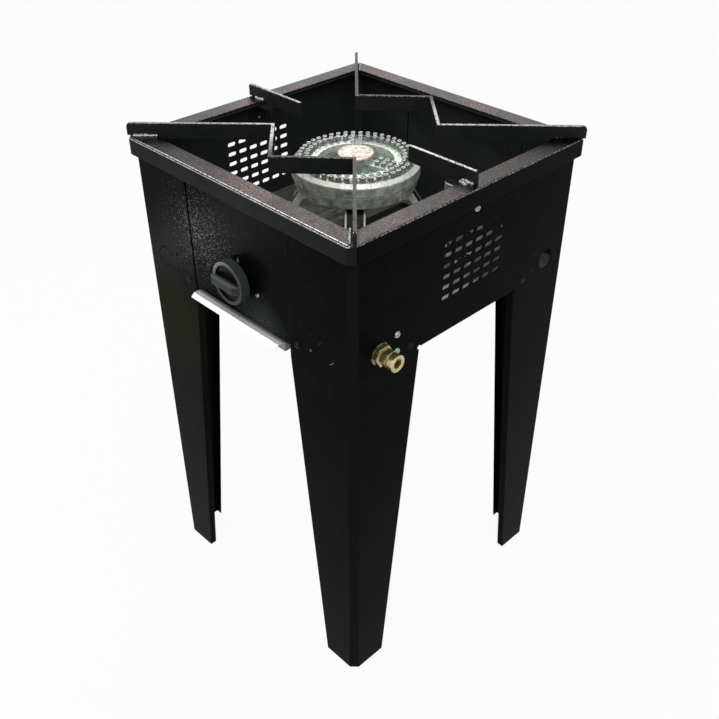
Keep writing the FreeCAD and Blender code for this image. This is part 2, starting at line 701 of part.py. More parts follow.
def corner_notch(near_x, near_y, far_x, far_y):
    """L shaped area that covers the rim's flanges at one corner."""
    inside_x = near_x * 0.5
    inside_y = near_y * 0.5
    points = [(near_x, near_y), (inside_x, near_y), (inside_x, far_y)]
    points.extend([(far_x, far_y), (far_x, inside_y), (near_x, inside_y)])
    return points


def round_bar_ends(body):
    """Round the top corner at both ends of a bar."""
    names = []
    for index, edge in enumerate(body.Shape.Edges):
        box = edge.BoundBox
        flat = abs(box.ZMin - bar_height) < 0.01 and abs(box.ZMax - bar_height) < 0.01
        short = edge.Length < 1.2 * bar_thickness
        outside = abs(edge.CenterOfMass.x) > flange_inner
        if flat and short and outside:
            names.append("Edge%d" % (index + 1))
    fillet(body, names, "Sizes.bar_end_round")


def straight_support(label, side):
    """Make a straight bar on the folded strap that is screwed to the side."""
    body = new_body(label)
    outline = new_sketch(body, "XZ_Plane")
    inner = straight_inner - side * straight_shift
    outer = straight_outer - side * straight_shift
    edge = flange_inner - notch_gap
    cut = bar_end_round / 2
    points = [(inner, strap_top), (edge, strap_top), (edge, rim_top), (outer, rim_top)]
    points.extend([(outer, bar_top - cut), (outer - cut, bar_top), (inner, bar_top)])
    add_polygon(outline, [(side * x, z) for x, z in points])
    pad(body, outline, "Sizes.bar_thickness", symmetric=True)
    strap = new_sketch(body, "XZ_Plane")
    end = side_inner - strap_reach
    path = [(side_inner, support_hole_height - strap_margin), (side_inner, strap_top)]
    path.extend([(end, strap_top), (end, strap_top - strap_lip)])
    add_polygon(strap, [(side * x, z) for x, z in band(path, 0, strap_sheet)])
    pad(body, strap, "Sizes.strap_width", symmetric=True)
    corners = new_sketch(body, "XY_Plane", strap_top)
    for way in (-1, 1):
        add_corner_round(corners, side * end, way * strap_width / 2, -side, way, strap_round)
    pocket(body, corners, 2 * strap_lip)
    hole = new_sketch(body, "YZ_Plane", side * side_inner)
    add_circle(hole, 0, support_hole_height, hole_radius)
    pocket(body, hole, 2 * strap_sheet, flip=side < 0)
    return body


def add_corner_round(sketch, x, y, out_x, out_y, radius):
    """Draw what a rounding takes away at a corner that points out_x, out_y."""
    beyond = radius / 2
    start = V(x - out_x * radius, y, 0)
    end = V(x, y - out_y * radius, 0)
    short = radius * (1 - math.sqrt(0.5))
    middle = V(x - out_x * short, y - out_y * short, 0)
    sketch.addGeometry(Part.Arc(start, middle, end), False)
    far = [end, V(x + out_x * beyond, end.y, 0)]
    far.extend([V(x + out_x * beyond, y + out_y * beyond, 0), V(start.x, y + out_y * beyond, 0), start])
    for near, nxt in zip(far, far[1:]):
        sketch.addGeometry(Part.LineSegment(near, nxt), False)


# Cast ring burner
def spokes(body, start, height):
    """Join the hub and the ring by three bars."""
    reach = ring_inner + ring_wall / 2
    half = spoke_width / 2
    bar = new_sketch(body, "XY_Plane", start)
    turn = math.radians(spoke_azimuth)
    corners = [(hub_radius / 2, -half), (reach, -half), (reach, half), (hub_radius / 2, half)]
    add_polygon(bar, [rotated(x, y, turn) for x, y in corners])
    first = pad(body, bar, height)
    polar(body, [first], 3)


def rotated(x, y, turn):
    """Turn a point round the origin."""
    return (x * math.cos(turn) - y * math.sin(turn), x * math.sin(turn) + y * math.cos(turn))


def burner_base():
    """Make the lower casting: ring trough, hub with its bore, and spokes."""
    body = new_body("burner_base")
    trough = new_sketch(body, "XZ_Plane")
    floor = ring_wall
    inside = ring_inner + ring_wall
    knee, belly = ring_outer - base_knee, ring_outer - base_belly
    side, shoulder = ring_outer - base_draft, part_line - base_shoulder
    points = [(ring_inner, 0), (ring_inner + base_foot, 0), (knee, base_knee_rise)]
    points.extend([(belly, base_belly_rise), (side, shoulder)])
    points.extend([(ring_outer, part_line), (ring_outer - ring_wall, part_line)])
    points.extend([(side - ring_wall, shoulder)])
    points.extend([(belly - ring_wall, base_belly_rise + ring_wall / 2)])
    points.extend([(knee, base_knee_rise + ring_wall), (inside, floor)])
    points.extend([(inside, part_line), (ring_inner, part_line)])
    add_polygon(trough, points)
    revolve(body, trough)
    cylinder_pad(body, "XY_Plane", 0, 0, hub_radius, 0, "Sizes.part_line")
    spokes(body, ring_wall, part_line - ring_wall)
    rib = new_sketch(body, "XY_Plane", part_line / 2)
    turn = math.radians(lug_azimuth)
    half, root = lug_width / 2, ring_outer - lug_depth
    corners = [(root, -half), (ring_outer, -half), (ring_outer, half), (root, half)]
    add_polygon(rib, [rotated(x, y, turn) for x, y in corners])
    pad(body, rib, part_line / 2)
    seat = mixer_radius + fit_gap
    cylinder_cut(body, "XY_Plane", 0, 0, seat, 0, "Sizes.mixer_seat", flip=True)
    throat = mixer_radius - mixer_wall
    cylinder_cut(body, "XY_Plane", 0, 0, throat, 0, part_line - ring_wall, flip=True)
    return place(body, 0, 0, burner_bottom)


def jet_row(body, sites, count):
    """Add tapered jets at the sites and repeat them round the axis."""
    sketch = new_sketch(body, "XY_Plane", head_height)
    for radius, side, azimuth in sites:
        x, y = rotated(radius, side, math.radians(azimuth))
        add_circle(sketch, x, y, jet_radius)
    first = pad(body, sketch, "Sizes.jet_height")
    taper = math.degrees(math.atan((jet_radius - jet_tip) / jet_height))
    first.TaperAngle = -taper
    doc.recompute()
    polar(body, [first], count)


def burner_head():
    """Make the upper casting with its rows of jets."""
    body = new_body("burner_head")
    ring = new_sketch(body, "XZ_Plane")
    inside = ring_inner + ring_wall
    under = head_height - ring_wall
    points = [(ring_inner, 0), (inside, 0), (inside, under)]
    side = ring_outer - head_draft
    points.extend([(side - ring_wall, under), (ring_outer - ring_wall, 0), (ring_outer, 0)])
    points.extend([(side, under), (ring_face, head_height)])
    points.append((ring_inner, head_height))
    add_polygon(ring, points)
    revolve(body, ring)
    cylinder_pad(body, "XY_Plane", 0, 0, hub_radius, 0, "Sizes.hub_height")
    spokes(body, 0, head_height)
    bore = cap_spigot + fit_gap
    top = hub_height
    cylinder_cut(body, "XY_Plane", 0, 0, bore, top, top - ring_wall)
    pitch = 360 / outer_count
    jet_row(body, [(outer_row, 0, spoke_azimuth + pitch / 2)], outer_count)
    pitch = 360 / inner_count
    jet_row(body, [(inner_row, 0, spoke_azimuth + pitch / 2)], inner_count)
    sites = []
    for step in range(3):
        for side in (-spoke_row_side, spoke_row_side):
            sites.append((spoke_row_first + step * spoke_row_pitch, side, spoke_azimuth))
    jet_row(body, sites, 3)
    return place(body, 0, 0, head_base)


def burner_cap():
    """Make the cap whose spigot stands in the hub."""
    body = new_body("burner_cap")
    profile = new_sketch(body, "XZ_Plane")
    points = [(0, -cap_depth), (cap_spigot, -cap_depth), (cap_spigot, 0), (cap_radius, 0)]
    points.extend([(cap_radius, cap_height - cap_edge), (cap_radius - cap_edge, cap_height)])
    points.append((0, cap_height))
    add_polygon(profile, points)
    revolve(body, profile)
    return place(body, 0, 0, head_base + hub_height)


def mixer_tube():
    """Make the tube where gas and air mix below the hub."""
    body = new_body("mixer_tube")
    outer = new_sketch(body, "XZ_Plane")
    bore = mixer_radius - mixer_wall
    hole = elbow_radius - mixer_wall + fit_gap
    points = [(hole, 0), (mixer_radius, 0), (mixer_radius, mixer_length)]
    points.extend([(bore, mixer_length), (bore, mixer_wall), (hole, mixer_wall)])
    add_polygon(outer, points)
    revolve(body, outer)
    window = new_sketch(body, "XZ_Plane")
    half = mixer_window / 2
    low = 2 * mixer_wall
    high = low + 1.4 * mixer_window
    add_polygon(window, [(-half, low), (half, low), (half, high), (-half, high)])
    cut = pocket(body, window)
    polar(body, [cut], 4)
    return place(body, 0, 0, mixer_bottom)


def burner_stand():
    """Make the cross of folded legs that carries the burner."""
    body = new_body("burner_stand")
    height = burner_bottom - pan_top
    path = [(stand_hub - stand_lap, height), (stand_knee, height)]
    path.extend([(stand_foot, stand_sheet), (stand_foot + stand_toe, stand_sheet)])
    depth = stand_sheet + stand_lip
    lip_path = path[:3]
    outer = new_sketch(body, "XZ_Plane")
    closing = band(lip_path, 0, -depth)
    add_polygon(outer, trimmed(closing))
    legs = pad(body, outer, "Sizes.stand_width", symmetric=True)
    inner = new_sketch(body, "XZ_Plane")
    inside = band(lip_path, -stand_sheet, -2 * depth)
    add_polygon(inner, trimmed(inside))
    hollow = pocket(body, inner, "Sizes.stand_width - 2 * Sizes.stand_sheet", symmetric=True)
    toe = new_sketch(body, "XZ_Plane")
    heel = (stand_foot - 2 * stand_sheet, stand_sheet)
    add_polygon(toe, band([heel, path[3]], 0, -stand_sheet))
    feet = pad(body, toe, "Sizes.stand_width", symmetric=True)
    polar(body, [legs, hollow, feet], 4)
    plate = new_sketch(body, "XY_Plane", height - stand_sheet)
    add_circle(plate, 0, 0, stand_hub)
    pad(body, plate, "Sizes.stand_sheet")
    hole = new_sketch(body, "XY_Plane", 0)
    add_circle(hole, 0, 0, stand_hole)
    reach = stand_foot + stand_toe / 2
    for sx, sy in ((1, 0), (-1, 0), (0, 1), (0, -1)):
        add_circle(hole, sx * reach, sy * reach, hole_radius)
    pocket(body, hole)
    return place(body, 0, 0, pan_top, V(0, 0, 1), 45)


def trimmed(points):
    """Keep a polygon above the floor where it slants into it."""
    kept = []
    total = len(points)
    for index in range(total):
        here = points[index]
        following = points[(index + 1) % total]
        if here[1] >= 0:
            kept.append(here)
        if (here[1] < 0) != (following[1] < 0):
            share = here[1] / (here[1] - following[1])
            kept.append((here[0] + share * (following[0] - here[0]), 0.0))
    return kept


# Galvanised pan, its tray and the runners
def floor_pan():
    """Make the floor with its opening, side walls and screw tabs."""
    body = new_body("floor_pan")
    floor = new_sketch(body, "XY_Plane")
    add_polygon(floor, pan_outline())
    opening = [(-pan_opening, -pan_opening_length), (pan_opening, -pan_opening_length)]
    opening.extend([(pan_opening, pan_opening_length), (-pan_opening, pan_opening_length)])
    add_polygon(floor, opening)
    pad(body, floor, "Sizes.pan_sheet")
    hole_up = pan_hole_height - panel_bottom
    for side in (-1, 1):
        wall = new_sketch(body, "YZ_Plane", side * (side_inner - pan_sheet))
        end = pan_wall_end
        add_polygon(wall, [(-end, 0), (end, 0), (end, pan_wall), (-end, pan_wall)])
        for way in (-1, 1):
            add_circle(wall, way * pan_hole_offset, hole_up, hole_radius)
        pad(body, wall, "Sizes.pan_sheet", flip=side < 0)
        pan_tabs(body, side, hole_up)
    holes = new_sketch(body, "XY_Plane")
    reach = (stand_foot + stand_toe / 2) / math.sqrt(2)
    for sx, sy in ((1, 1), (-1, 1), (-1, -1), (1, -1)):
        add_circle(holes, sx * reach, sy * reach, hole_radius)
    pocket(body, holes)
    return place(body, 0, 0, panel_bottom)


def pan_outline():
    """Outline of the floor inside the folded box."""
    end = panel_inner
    side = side_inner
    points = []
    for sx, sy in ((1, -1), (1, 1), (-1, 1), (-1, -1)):
        along = (sx * (side - pan_corner), sy * end)
        up = (sx * side, sy * (end - pan_corner))
        points.extend([along, up] if sx * sy < 0 else [up, along])
    return points


def pan_tabs(body, face, hole_up):
    """Turn up the two tabs at the front or back of the floor."""
    tabs = new_sketch(body, "XZ_Plane", -face * panel_inner)
    half = pan_tab / 2
    top = 2 * hole_up
    for end in (-1, 1):
        middle = end * pan_hole_offset
        low, high = middle - half, middle + half
        add_polygon(tabs, [(low, 0), (high, 0), (high, top), (low, top)])
        add_circle(tabs, middle, hole_up, hole_radius)
    pad(body, tabs, "Sizes.pan_sheet", flip=face < 0)


def drip_tray():
    """Make the shallow tray with its folded handle."""
    body = new_body("drip_tray")
    front = body_half + tray_front_gap
    outline = new_sketch(body, "XY_Plane")
    corners = [(-tray_half, -front), (tray_half, -front)]
    corners.extend([(tray_half, tray_end), (-tray_half, tray_end)])
    add_polygon(outline, corners)
    pad(body, outline, "Sizes.tray_depth")
    hollow = new_sketch(body, "XY_Plane", pan_sheet)
    inner = tray_half - pan_sheet
    near = pan_sheet - front
    far = tray_end - pan_sheet
    add_polygon(hollow, [(-inner, near), (inner, near), (inner, far), (-inner, far)])
    pocket(body, hollow, "Sizes.tray_depth", flip=True)
    handle = new_sketch(body, "YZ_Plane")
    lip_top = tray_depth + 2 * pan_sheet
    turn = -front - tray_handle_flat
    path = [(turn - tray_handle_slope, lip_top - tray_handle_slope), (turn, lip_top)]
    path.extend([(-front + pan_sheet, lip_top)])
    add_polygon(handle, band(path, 0, -pan_sheet))
    width = "2 * (Sizes.pan_opening + Sizes.tray_lap)"
    pad(body, handle, width, symmetric=True)
    stem = new_sketch(body, "YZ_Plane")
    rise = tray_depth - pan_sheet
    add_polygon(stem, [(-front, rise), (near, rise), (near, lip_top), (-front, lip_top)])
    pad(body, stem, width, symmetric=True)
    return place(body, 0, 0, tray_bottom)


def tray_runner(label, side):
    """Make one folded runner under the floor."""
    body = new_body(label)
    profile = new_sketch(body, "XZ_Plane")
    web = tray_half + tray_gap
    low = tray_bottom - tray_under_gap - pan_sheet
    foot = [(web - runner_foot, low), (web + pan_sheet, low)]
    foot.extend([(web + pan_sheet, panel_bottom - pan_sheet)])
    foot.extend([(web + runner_flange, panel_bottom - pan_sheet)])
    foot.extend([(web + runner_flange, panel_bottom), (web, panel_bottom)])
    foot.extend([(web, low + pan_sheet), (web - runner_foot, low + pan_sheet)])
    add_polygon(profile, [(side * x, z) for x, z in foot])
    pad(body, profile, 2 * runner_half, symmetric=True)
    return body


# Gas train
def valve_body():
    """Make the valve with its mounting plate and two ports."""
    body = new_body("valve_body")
    plate = new_sketch(body, "XZ_Plane")
    half = valve_body_radius
    right = valve_ear
    add_polygon(plate, [(-half, -half), (right, -half), (right, half), (-half, half)])
    add_circle(plate, valve_screw_offset, -valve_screw_drop, hole_radius)
    pad(body, plate, "Sizes.bracket_sheet", flip=True)
    neck = new_sketch(body, "XZ_Plane")
    add_circle(neck, 0, 0, valve_front)
    pad(body, neck, "Sizes.valve_length", flip=True)
    barrel = new_sketch(body, "XZ_Plane", -valve_neck_length)
    add_circle(barrel, 0, 0, valve_body_radius)
    pad(body, barrel, "Sizes.valve_length - Sizes.valve_neck_length", flip=True)
    outlet = new_sketch(body, "XZ_Plane", -valve_length)
    add_circle(outlet, 0, 0, feed_radius + port_wall)
    pad(body, outlet, "Sizes.outlet_reach", flip=True)
    inlet = new_sketch(body, "XY_Plane")
    add_circle(inlet, 0, valve_port, pipe_radius + port_wall)
    port_end = valve_body_radius + port_reach
    pad(body, inlet, port_end, flip=True)
    socket = new_sketch(body, "XY_Plane", -port_end)
    add_circle(socket, 0, valve_port, pipe_radius + fit_gap)
    pocket(body, socket, "Sizes.socket_depth", flip=True)
    end = valve_length + outlet_reach
    mouth = new_sketch(body, "XZ_Plane", -end)
    add_circle(mouth, 0, 0, feed_radius + fit_gap)
    pocket(body, mouth, "Sizes.socket_depth", flip=True)
    chamber = new_sketch(body, "XZ_Plane", -valve_neck_length)
    add_circle(chamber, 0, 0, plug_radius + fit_gap)
    pocket(body, chamber, plug_length + 2 * fit_gap)
    stem = new_sketch(body, "XZ_Plane")
    add_circle(stem, 0, 0, stem_radius + fit_gap)
    pocket(body, stem, "Sizes.valve_neck_length")
    return place(body, 0, valve_depth, valve_height)


def valve_plug():
    """Make the plug that turns in the valve and drives with its flat."""
    body = new_body("valve_plug")
    sketch = new_sketch(body, "XZ_Plane")
    add_circle(sketch, 0, 0, plug_radius)
    pad(body, sketch, "Sizes.plug_length", flip=True)
    bore = new_sketch(body, "XZ_Plane")
    add_flat_circle(bore, stem_radius + fit_gap, stem_flat + fit_gap)
    pocket(body, bore, "Sizes.plug_bore")
    return place(body, 0, valve_depth + valve_neck_length + fit_gap, valve_height)


def add_flat_circle(sketch, radius, flat):
    """Draw a circle with a flat on its upper side."""
    half = math.sqrt(radius * radius - flat * flat)
    start = math.atan2(flat, -half)
    end = math.atan2(flat, half) + 2 * math.pi
    circle = Part.Circle(V(0, 0, 0), V(0, 0, 1), radius)
    sketch.addGeometry(Part.ArcOfCircle(circle, start, end), False)
    sketch.addGeometry(Part.LineSegment(V(-half, flat, 0), V(half, flat, 0)), False)


def stem_reach():
    """Depth of the stem's inner end behind the inner face of the panel."""
    return valve_neck_length + plug_bore - knob_travel - stem_end_gap


def knob_back():
    """Distance of the knob's back plane before the inner face of the panel."""
    return panel_sheet + knob_gap


def valve_stem():
    """Make the stem with its flat, from the plug out to the knob."""
    body = new_body("valve_stem")
    sketch = new_sketch(body, "XZ_Plane", -stem_reach())
    add_flat_circle(sketch, stem_radius, stem_flat)
    front = knob_back() + knob_depth - knob_recess - knob_wall - stem_end_gap
    pad(body, sketch, stem_reach() + front)
    return place(body, 0, valve_depth, valve_height)


def knob():
    """Make the hollow knob with its recessed face and grip."""
    body = new_body("knob")
    profile = new_sketch(body, "XY_Plane")
    front = -knob_depth
    face = knob_recess - knob_depth
    back_face = face + knob_wall
    tip = knob_radius - knob_draft
    points = [(0, face), (tip - knob_rim, face), (tip - knob_rim, front), (tip, front)]
    points.extend([(knob_radius, 0), (knob_radius - knob_wall, 0)])
    points.extend([(tip - knob_wall, back_face), (0, back_face)])
    add_polygon(profile, points)
    revolve(body, profile)
    fillet(body, edges_at(body, front, 2 * math.pi * (tip - knob_rim) - 1), "Sizes.knob_round")
    boss = new_sketch(body, "XZ_Plane", -back_face)
    add_circle(boss, 0, 0, stem_radius + knob_boss)
    pad(body, boss, -back_face - knob_boss_inset, flip=True)
    grip = new_sketch(body, "XY_Plane")
    top = front - grip_height
    left = knob_rim - tip - knob_round
    right = tip - knob_round
    outline = [(left, face), (left, front - grip_shoulder), (left + grip_slope, top)]
    outline.extend([(right - grip_pointer, top), (right, front), (right, face)])
    add_polygon(grip, outline)
    pad(body, grip, "Sizes.grip_width", symmetric=True)
    fillet(body, edges_at(body, top, 2 * grip_width), "Sizes.grip_round")
    bore = new_sketch(body, "XZ_Plane", knob_boss_inset)
    add_flat_circle(bore, stem_radius + fit_gap, stem_flat + fit_gap)
    depth = stem_end_gap / 2 - back_face - knob_boss_inset
    pocket(body, bore, depth, flip=True)
    return place(body, 0, -side_inner - knob_gap, valve_height)


def edges_at(body, level, shortest):
    """Name the edges at one depth that are at least so long."""
    names = []
    for index, edge in enumerate(body.Shape.Edges):
        box = edge.BoundBox
        flat = abs(box.YMin - level) < 0.01 and abs(box.YMax - level) < 0.01
        if flat and edge.Length > shortest:
            names.append("Edge%d" % (index + 1))
    return names


def inlet_pipe():
    """Make the bent pipe from the inlet fitting to the valve."""
    body = new_body("inlet_pipe")
    start = fitting_inner() + socket_depth
    top = valve_height - inlet_height - valve_body_radius - port_reach + socket_depth
    route = new_sketch(body, "XZ_Plane")
    corner = V(pipe_bend, pipe_bend, 0)
    route.addGeometry(Part.LineSegment(V(start, 0, 0), V(pipe_bend, 0, 0)), False)
    arc = Part.Circle(corner, V(0, 0, 1), pipe_bend)
    route.addGeometry(Part.ArcOfCircle(arc, math.pi, 1.5 * math.pi), False)
    route.addGeometry(Part.LineSegment(V(0, pipe_bend, 0), V(0, top, 0)), False)
    profile = new_sketch(body, "YZ_Plane", start)
    add_circle(profile, 0, 0, pipe_radius)
    add_circle(profile, 0, 0, pipe_radius - pipe_wall)
    doc.recompute()
    sweep = body.newObject("PartDesign::AdditivePipe", body.Label + "_sweep")
    sweep.Profile = profile
    sweep.Spine = (route, ["Edge1", "Edge2", "Edge3"])
    finish_feature(body, sweep)
    return place(body, 0, -inlet_offset, inlet_height)


def fitting_inner():
    """Inner end of the inlet fitting, measured across."""
    return side_inner - bracket_sheet - fitting_length


def inlet_fitting():
    """Make the brass fitting that passes through the bracket."""
    body = new_body("inlet_fitting")
    plate = side_inner - bracket_sheet
    across = -inlet_offset
    outer = pipe_radius + port_wall
    cylinder_pad(body, "YZ_Plane", across, 0, outer, fitting_inner(), "Sizes.fitting_length")
    collar = new_sketch(body, "YZ_Plane", plate - fitting_collar)
    add_polygon(collar, hexagon(across, 0, nut_flats))
    pad(body, collar, "Sizes.fitting_collar")
    thread = bracket_sheet + nut_length + fitting_reach
    cylinder_pad(body, "YZ_Plane", across, 0, thread_radius, plate, thread)
    bore = pipe_radius - pipe_wall
    cylinder_cut(body, "YZ_Plane", across, 0, bore, fitting_inner(), fitting_length + thread, flip=True)
    socket = pipe_radius + fit_gap
    cylinder_cut(body, "YZ_Plane", across, 0, socket, fitting_inner(), "Sizes.socket_depth", flip=True)
    return place(body, 0, 0, inlet_height)


def inlet_nut():
    """Make the nut that clamps the fitting to the bracket."""
    body = new_body("inlet_nut")
    sketch = new_sketch(body, "YZ_Plane", side_inner)
    add_polygon(sketch, hexagon(-inlet_offset, 0, nut_flats))
    add_circle(sketch, -inlet_offset, 0, thread_radius + fit_gap)
    pad(body, sketch, "Sizes.nut_length")
    return place(body, 0, 0, inlet_height)


def inlet_adaptor():
    """Make the outer fitting that takes the hose."""
    body = new_body("inlet_adaptor")
    start = side_inner + nut_length
    across = -inlet_offset
    hexed = new_sketch(body, "YZ_Plane", start)
    add_polygon(hexed, hexagon(across, 0, adaptor_flats))
    pad(body, hexed, "Sizes.adaptor_hex")
    groove = adaptor_radius - groove_depth
    rest = adaptor_groove + adaptor_end
    cylinder_pad(body, "YZ_Plane", across, 0, groove, start + adaptor_hex, rest)
    end_start = start + adaptor_hex + adaptor_groove
    cylinder_pad(body, "YZ_Plane", across, 0, adaptor_radius, end_start, "Sizes.adaptor_end")
    seat = thread_radius + fit_gap
    cylinder_cut(body, "YZ_Plane", across, 0, seat, start, "Sizes.fitting_reach", flip=True)
    bore = pipe_radius - pipe_wall
    whole = adaptor_hex + rest
    cylinder_cut(body, "YZ_Plane", across, 0, bore, start, whole, flip=True)
    mouth = end_start + adaptor_end
    cylinder_cut(body, "YZ_Plane", across, 0, adaptor_bore, mouth, "Sizes.adaptor_end")
    return place(body, 0, 0, inlet_height)


def inlet_bracket():
    """Make the plate behind the knockout that holds the inlet."""
    body = new_body("inlet_bracket")
    sketch = new_sketch(body, "YZ_Plane", side_inner - bracket_sheet)
    far = -inlet_offset - knockout_radius - bracket_lap
    near = screw_head + bracket_margin - bracket_hole_offset
    low = pan_top - inlet_height + panel_sheet
    high = bracket_hole_above + bracket_margin
    add_polygon(sketch, [(far, low), (near, low), (near, high), (far, high)])
    add_circle(sketch, -inlet_offset, 0, thread_radius + fit_gap)
    for height in (bracket_hole_high, bracket_hole_low):
        add_circle(sketch, -bracket_hole_offset, height - inlet_height, hole_radius)
    pad(body, sketch, "Sizes.bracket_sheet")
    return place(body, 0, 0, inlet_height)


def feed_tube():
    """Make the straight tube from the valve to the injector."""
    body = new_body("feed_tube")
    end = valve_depth + valve_length + outlet_reach - socket_depth
    stop = -elbow_radius - elbow_reach
    sketch = new_sketch(body, "XZ_Plane")
    add_circle(sketch, 0, 0, feed_radius)
    add_circle(sketch, 0, 0, feed_radius - pipe_wall)
    pad(body, sketch, stop - end, flip=True)
    return place(body, 0, end, valve_height)


def injector_elbow():
    """Make the elbow with the injector that stands in the mixing tube."""
    body = new_body("injector_elbow")
    rise = mixer_rise
    spigot = elbow_radius - mixer_wall
    nozzle = new_sketch(body, "XZ_Plane")
    points = [(0, -elbow_radius), (elbow_radius, -elbow_radius), (elbow_radius, rise)]
    points.extend([(spigot, rise), (spigot, rise + nozzle_height - nozzle_taper)])
    points.extend([(nozzle_tip, rise + nozzle_height), (0, rise + nozzle_height)])
    add_polygon(nozzle, points)
    revolve(body, nozzle)
    port = new_sketch(body, "XZ_Plane")
    add_circle(port, 0, 0, feed_radius + port_wall)
    port_end = elbow_radius + elbow_reach + socket_depth
    pad(body, port, port_end)
    mouth = new_sketch(body, "XZ_Plane", port_end)
    add_circle(mouth, 0, 0, feed_radius + fit_gap)
    pocket(body, mouth, "Sizes.socket_depth")
    return place(body, 0, 0, valve_height)


# Fasteners: equal screws share one sub-part as separate solids
def pan_head_screw(length):
    """Shape one screw, its head above the origin and its shank below."""
    shank = Part.makeCylinder(screw_radius, length, V(0, 0, -length))
    rim = screw_head_height * 0.4
    disc = Part.makeCylinder(screw_head, rim)
    dome = Part.makeCone(screw_head, screw_head * 0.6, screw_head_height - rim, V(0, 0, rim))
    return shank.fuse(disc).fuse(dome).removeSplitter()


def screw_group(label, length, sites):
    """Set equal screws at sites, each a point and the way its head faces."""
    screws = []
    for point, way in sites:
        screw = pan_head_screw(length)
        turn = FreeCAD.Rotation(V(0, 0, 1), way)
        screw.Placement = FreeCAD.Placement(point, turn)
        screws.append(screw)
    group = doc.addObject("Part::Feature", label)
    group.Label = label
    group.Shape = Part.makeCompound(screws) if len(screws) > 1 else screws[0]
    return group


def panel_screws():
    """Screws that hold the pan to the four faces."""
    sites = []
    for face in (-1, 1):
        for end in (-1, 1):
            across = end * pan_hole_offset
            sites.append((V(across, face * body_half, pan_hole_height), V(0, face, 0)))
            sites.append((V(face * body_half, across, pan_hole_height), V(face, 0, 0)))
    return screw_group("panel_screws", screw_short, sites)


def bracket_screws():
    """Two screws that hold the inlet bracket."""
    sites = []
    for height in (bracket_hole_high, bracket_hole_low):
        sites.append((V(body_half, -bracket_hole_offset, height), V(1, 0, 0)))
    return screw_group("bracket_screws", screw_middle, sites)


def support_screws():
    """Screws through the sides into the feet of the straight supports."""
    sites = []
    for side in (-1, 1):
        sites.append((V(side * body_half, 0, support_hole_height), V(side, 0, 0)))
    return screw_group("support_screws", screw_long, sites)


def stand_screws():
    """Screws through the stand's feet into the floor."""
    sites = []
    reach = (stand_foot + stand_toe / 2) / math.sqrt(2)
    for sx, sy in ((1, 1), (-1, 1), (-1, -1), (1, -1)):
        sites.append((V(sx * reach, sy * reach, pan_top + stand_sheet), V(0, 0, 1)))
    return screw_group("stand_screws", screw_short, sites)


def valve_screw():
    """Screw that holds the valve's plate to the front panel."""
    height = valve_height - valve_screw_drop
    point = V(valve_screw_offset, -side_inner, height)
    return screw_group("valve_screw", screw_short, [(point, V(0, -1, 0))])


def build_all():
    """Build every sub-part in its place."""
    parts = [
        side_panel("side_panel_left", -1, ()),
        side_panel("side_panel_right", 1, (-1, 1)),
        cover_panel("front_panel", -1, True),
        cover_panel("back_panel", 1, False),
        rim_frame(),
        bent_support("pot_support_front", -1),
        bent_support("pot_support_back", 1),
        straight_support("pot_support_left", -1),
        straight_support("pot_support_right", 1),
        burner_base(),
        burner_head(),
        burner_cap(),
        mixer_tube(),
        burner_stand(),
        floor_pan(),
        drip_tray(),
        tray_runner("tray_runner_left", -1),
        tray_runner("tray_runner_right", 1),
        valve_body(),
        valve_plug(),
        valve_stem(),
        knob(),
        inlet_pipe(),
        inlet_fitting(),
        inlet_nut(),
        inlet_adaptor(),
        inlet_bracket(),
        feed_tube(),
        injector_elbow(),
        panel_screws(),
        bracket_screws(),
        support_screws(),
        stand_screws(),
        valve_screw(),
    ]
    doc.recompute()
    return parts


def check_objects():
    """Stop if any object of the document failed."""
    for item in doc.Objects:
        if "Invalid" in item.State or "Error" in item.State:
            raise ValueError("%s is %s" % (item.Label, item.State))


def write_parts(parts):
    """Write one STEP file for each sub-part."""
    os.makedirs("parts", exist_ok=True)
    for item in parts:
        shape = item.Shape
        if shape.isNull() or not shape.isValid():
            raise ValueError("bad shape in " + item.Label)
        shape.exportStep(os.path.join("parts", item.Label + ".step"))
        box = shape.BoundBox
        limits = (box.XMin, box.XMax, box.YMin, box.YMax, box.ZMin, box.ZMax)
        print(item.Label, len(shape.Solids), "%.1f" % shape.Volume, ["%.2f" % v for v in limits])


all_parts = build_all()
check_objects()
write_parts(all_parts)
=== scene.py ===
# %% [markdown]
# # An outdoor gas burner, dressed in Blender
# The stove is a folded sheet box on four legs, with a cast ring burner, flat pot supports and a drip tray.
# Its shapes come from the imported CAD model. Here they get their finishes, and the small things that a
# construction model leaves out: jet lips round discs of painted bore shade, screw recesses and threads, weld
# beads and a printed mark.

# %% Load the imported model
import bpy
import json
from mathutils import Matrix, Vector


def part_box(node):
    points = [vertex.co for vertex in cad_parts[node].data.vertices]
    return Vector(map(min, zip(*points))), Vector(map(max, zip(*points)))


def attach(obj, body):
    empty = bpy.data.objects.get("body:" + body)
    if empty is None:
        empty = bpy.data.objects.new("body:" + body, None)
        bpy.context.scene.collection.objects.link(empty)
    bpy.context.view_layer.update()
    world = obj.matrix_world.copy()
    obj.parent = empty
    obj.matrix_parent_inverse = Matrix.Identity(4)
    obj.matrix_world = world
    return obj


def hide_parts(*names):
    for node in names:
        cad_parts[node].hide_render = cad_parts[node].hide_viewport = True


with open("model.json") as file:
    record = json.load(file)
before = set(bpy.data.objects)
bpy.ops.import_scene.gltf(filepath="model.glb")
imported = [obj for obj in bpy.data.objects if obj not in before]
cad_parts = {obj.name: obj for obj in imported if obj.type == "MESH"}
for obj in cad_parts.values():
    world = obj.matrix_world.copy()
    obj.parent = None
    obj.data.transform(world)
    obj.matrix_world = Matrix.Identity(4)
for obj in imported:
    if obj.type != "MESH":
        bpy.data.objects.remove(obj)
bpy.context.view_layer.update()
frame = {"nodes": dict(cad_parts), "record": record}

# %% Tools and units
import json
import math
import random

import bmesh
import bpy
from mathutils import Matrix, Vector

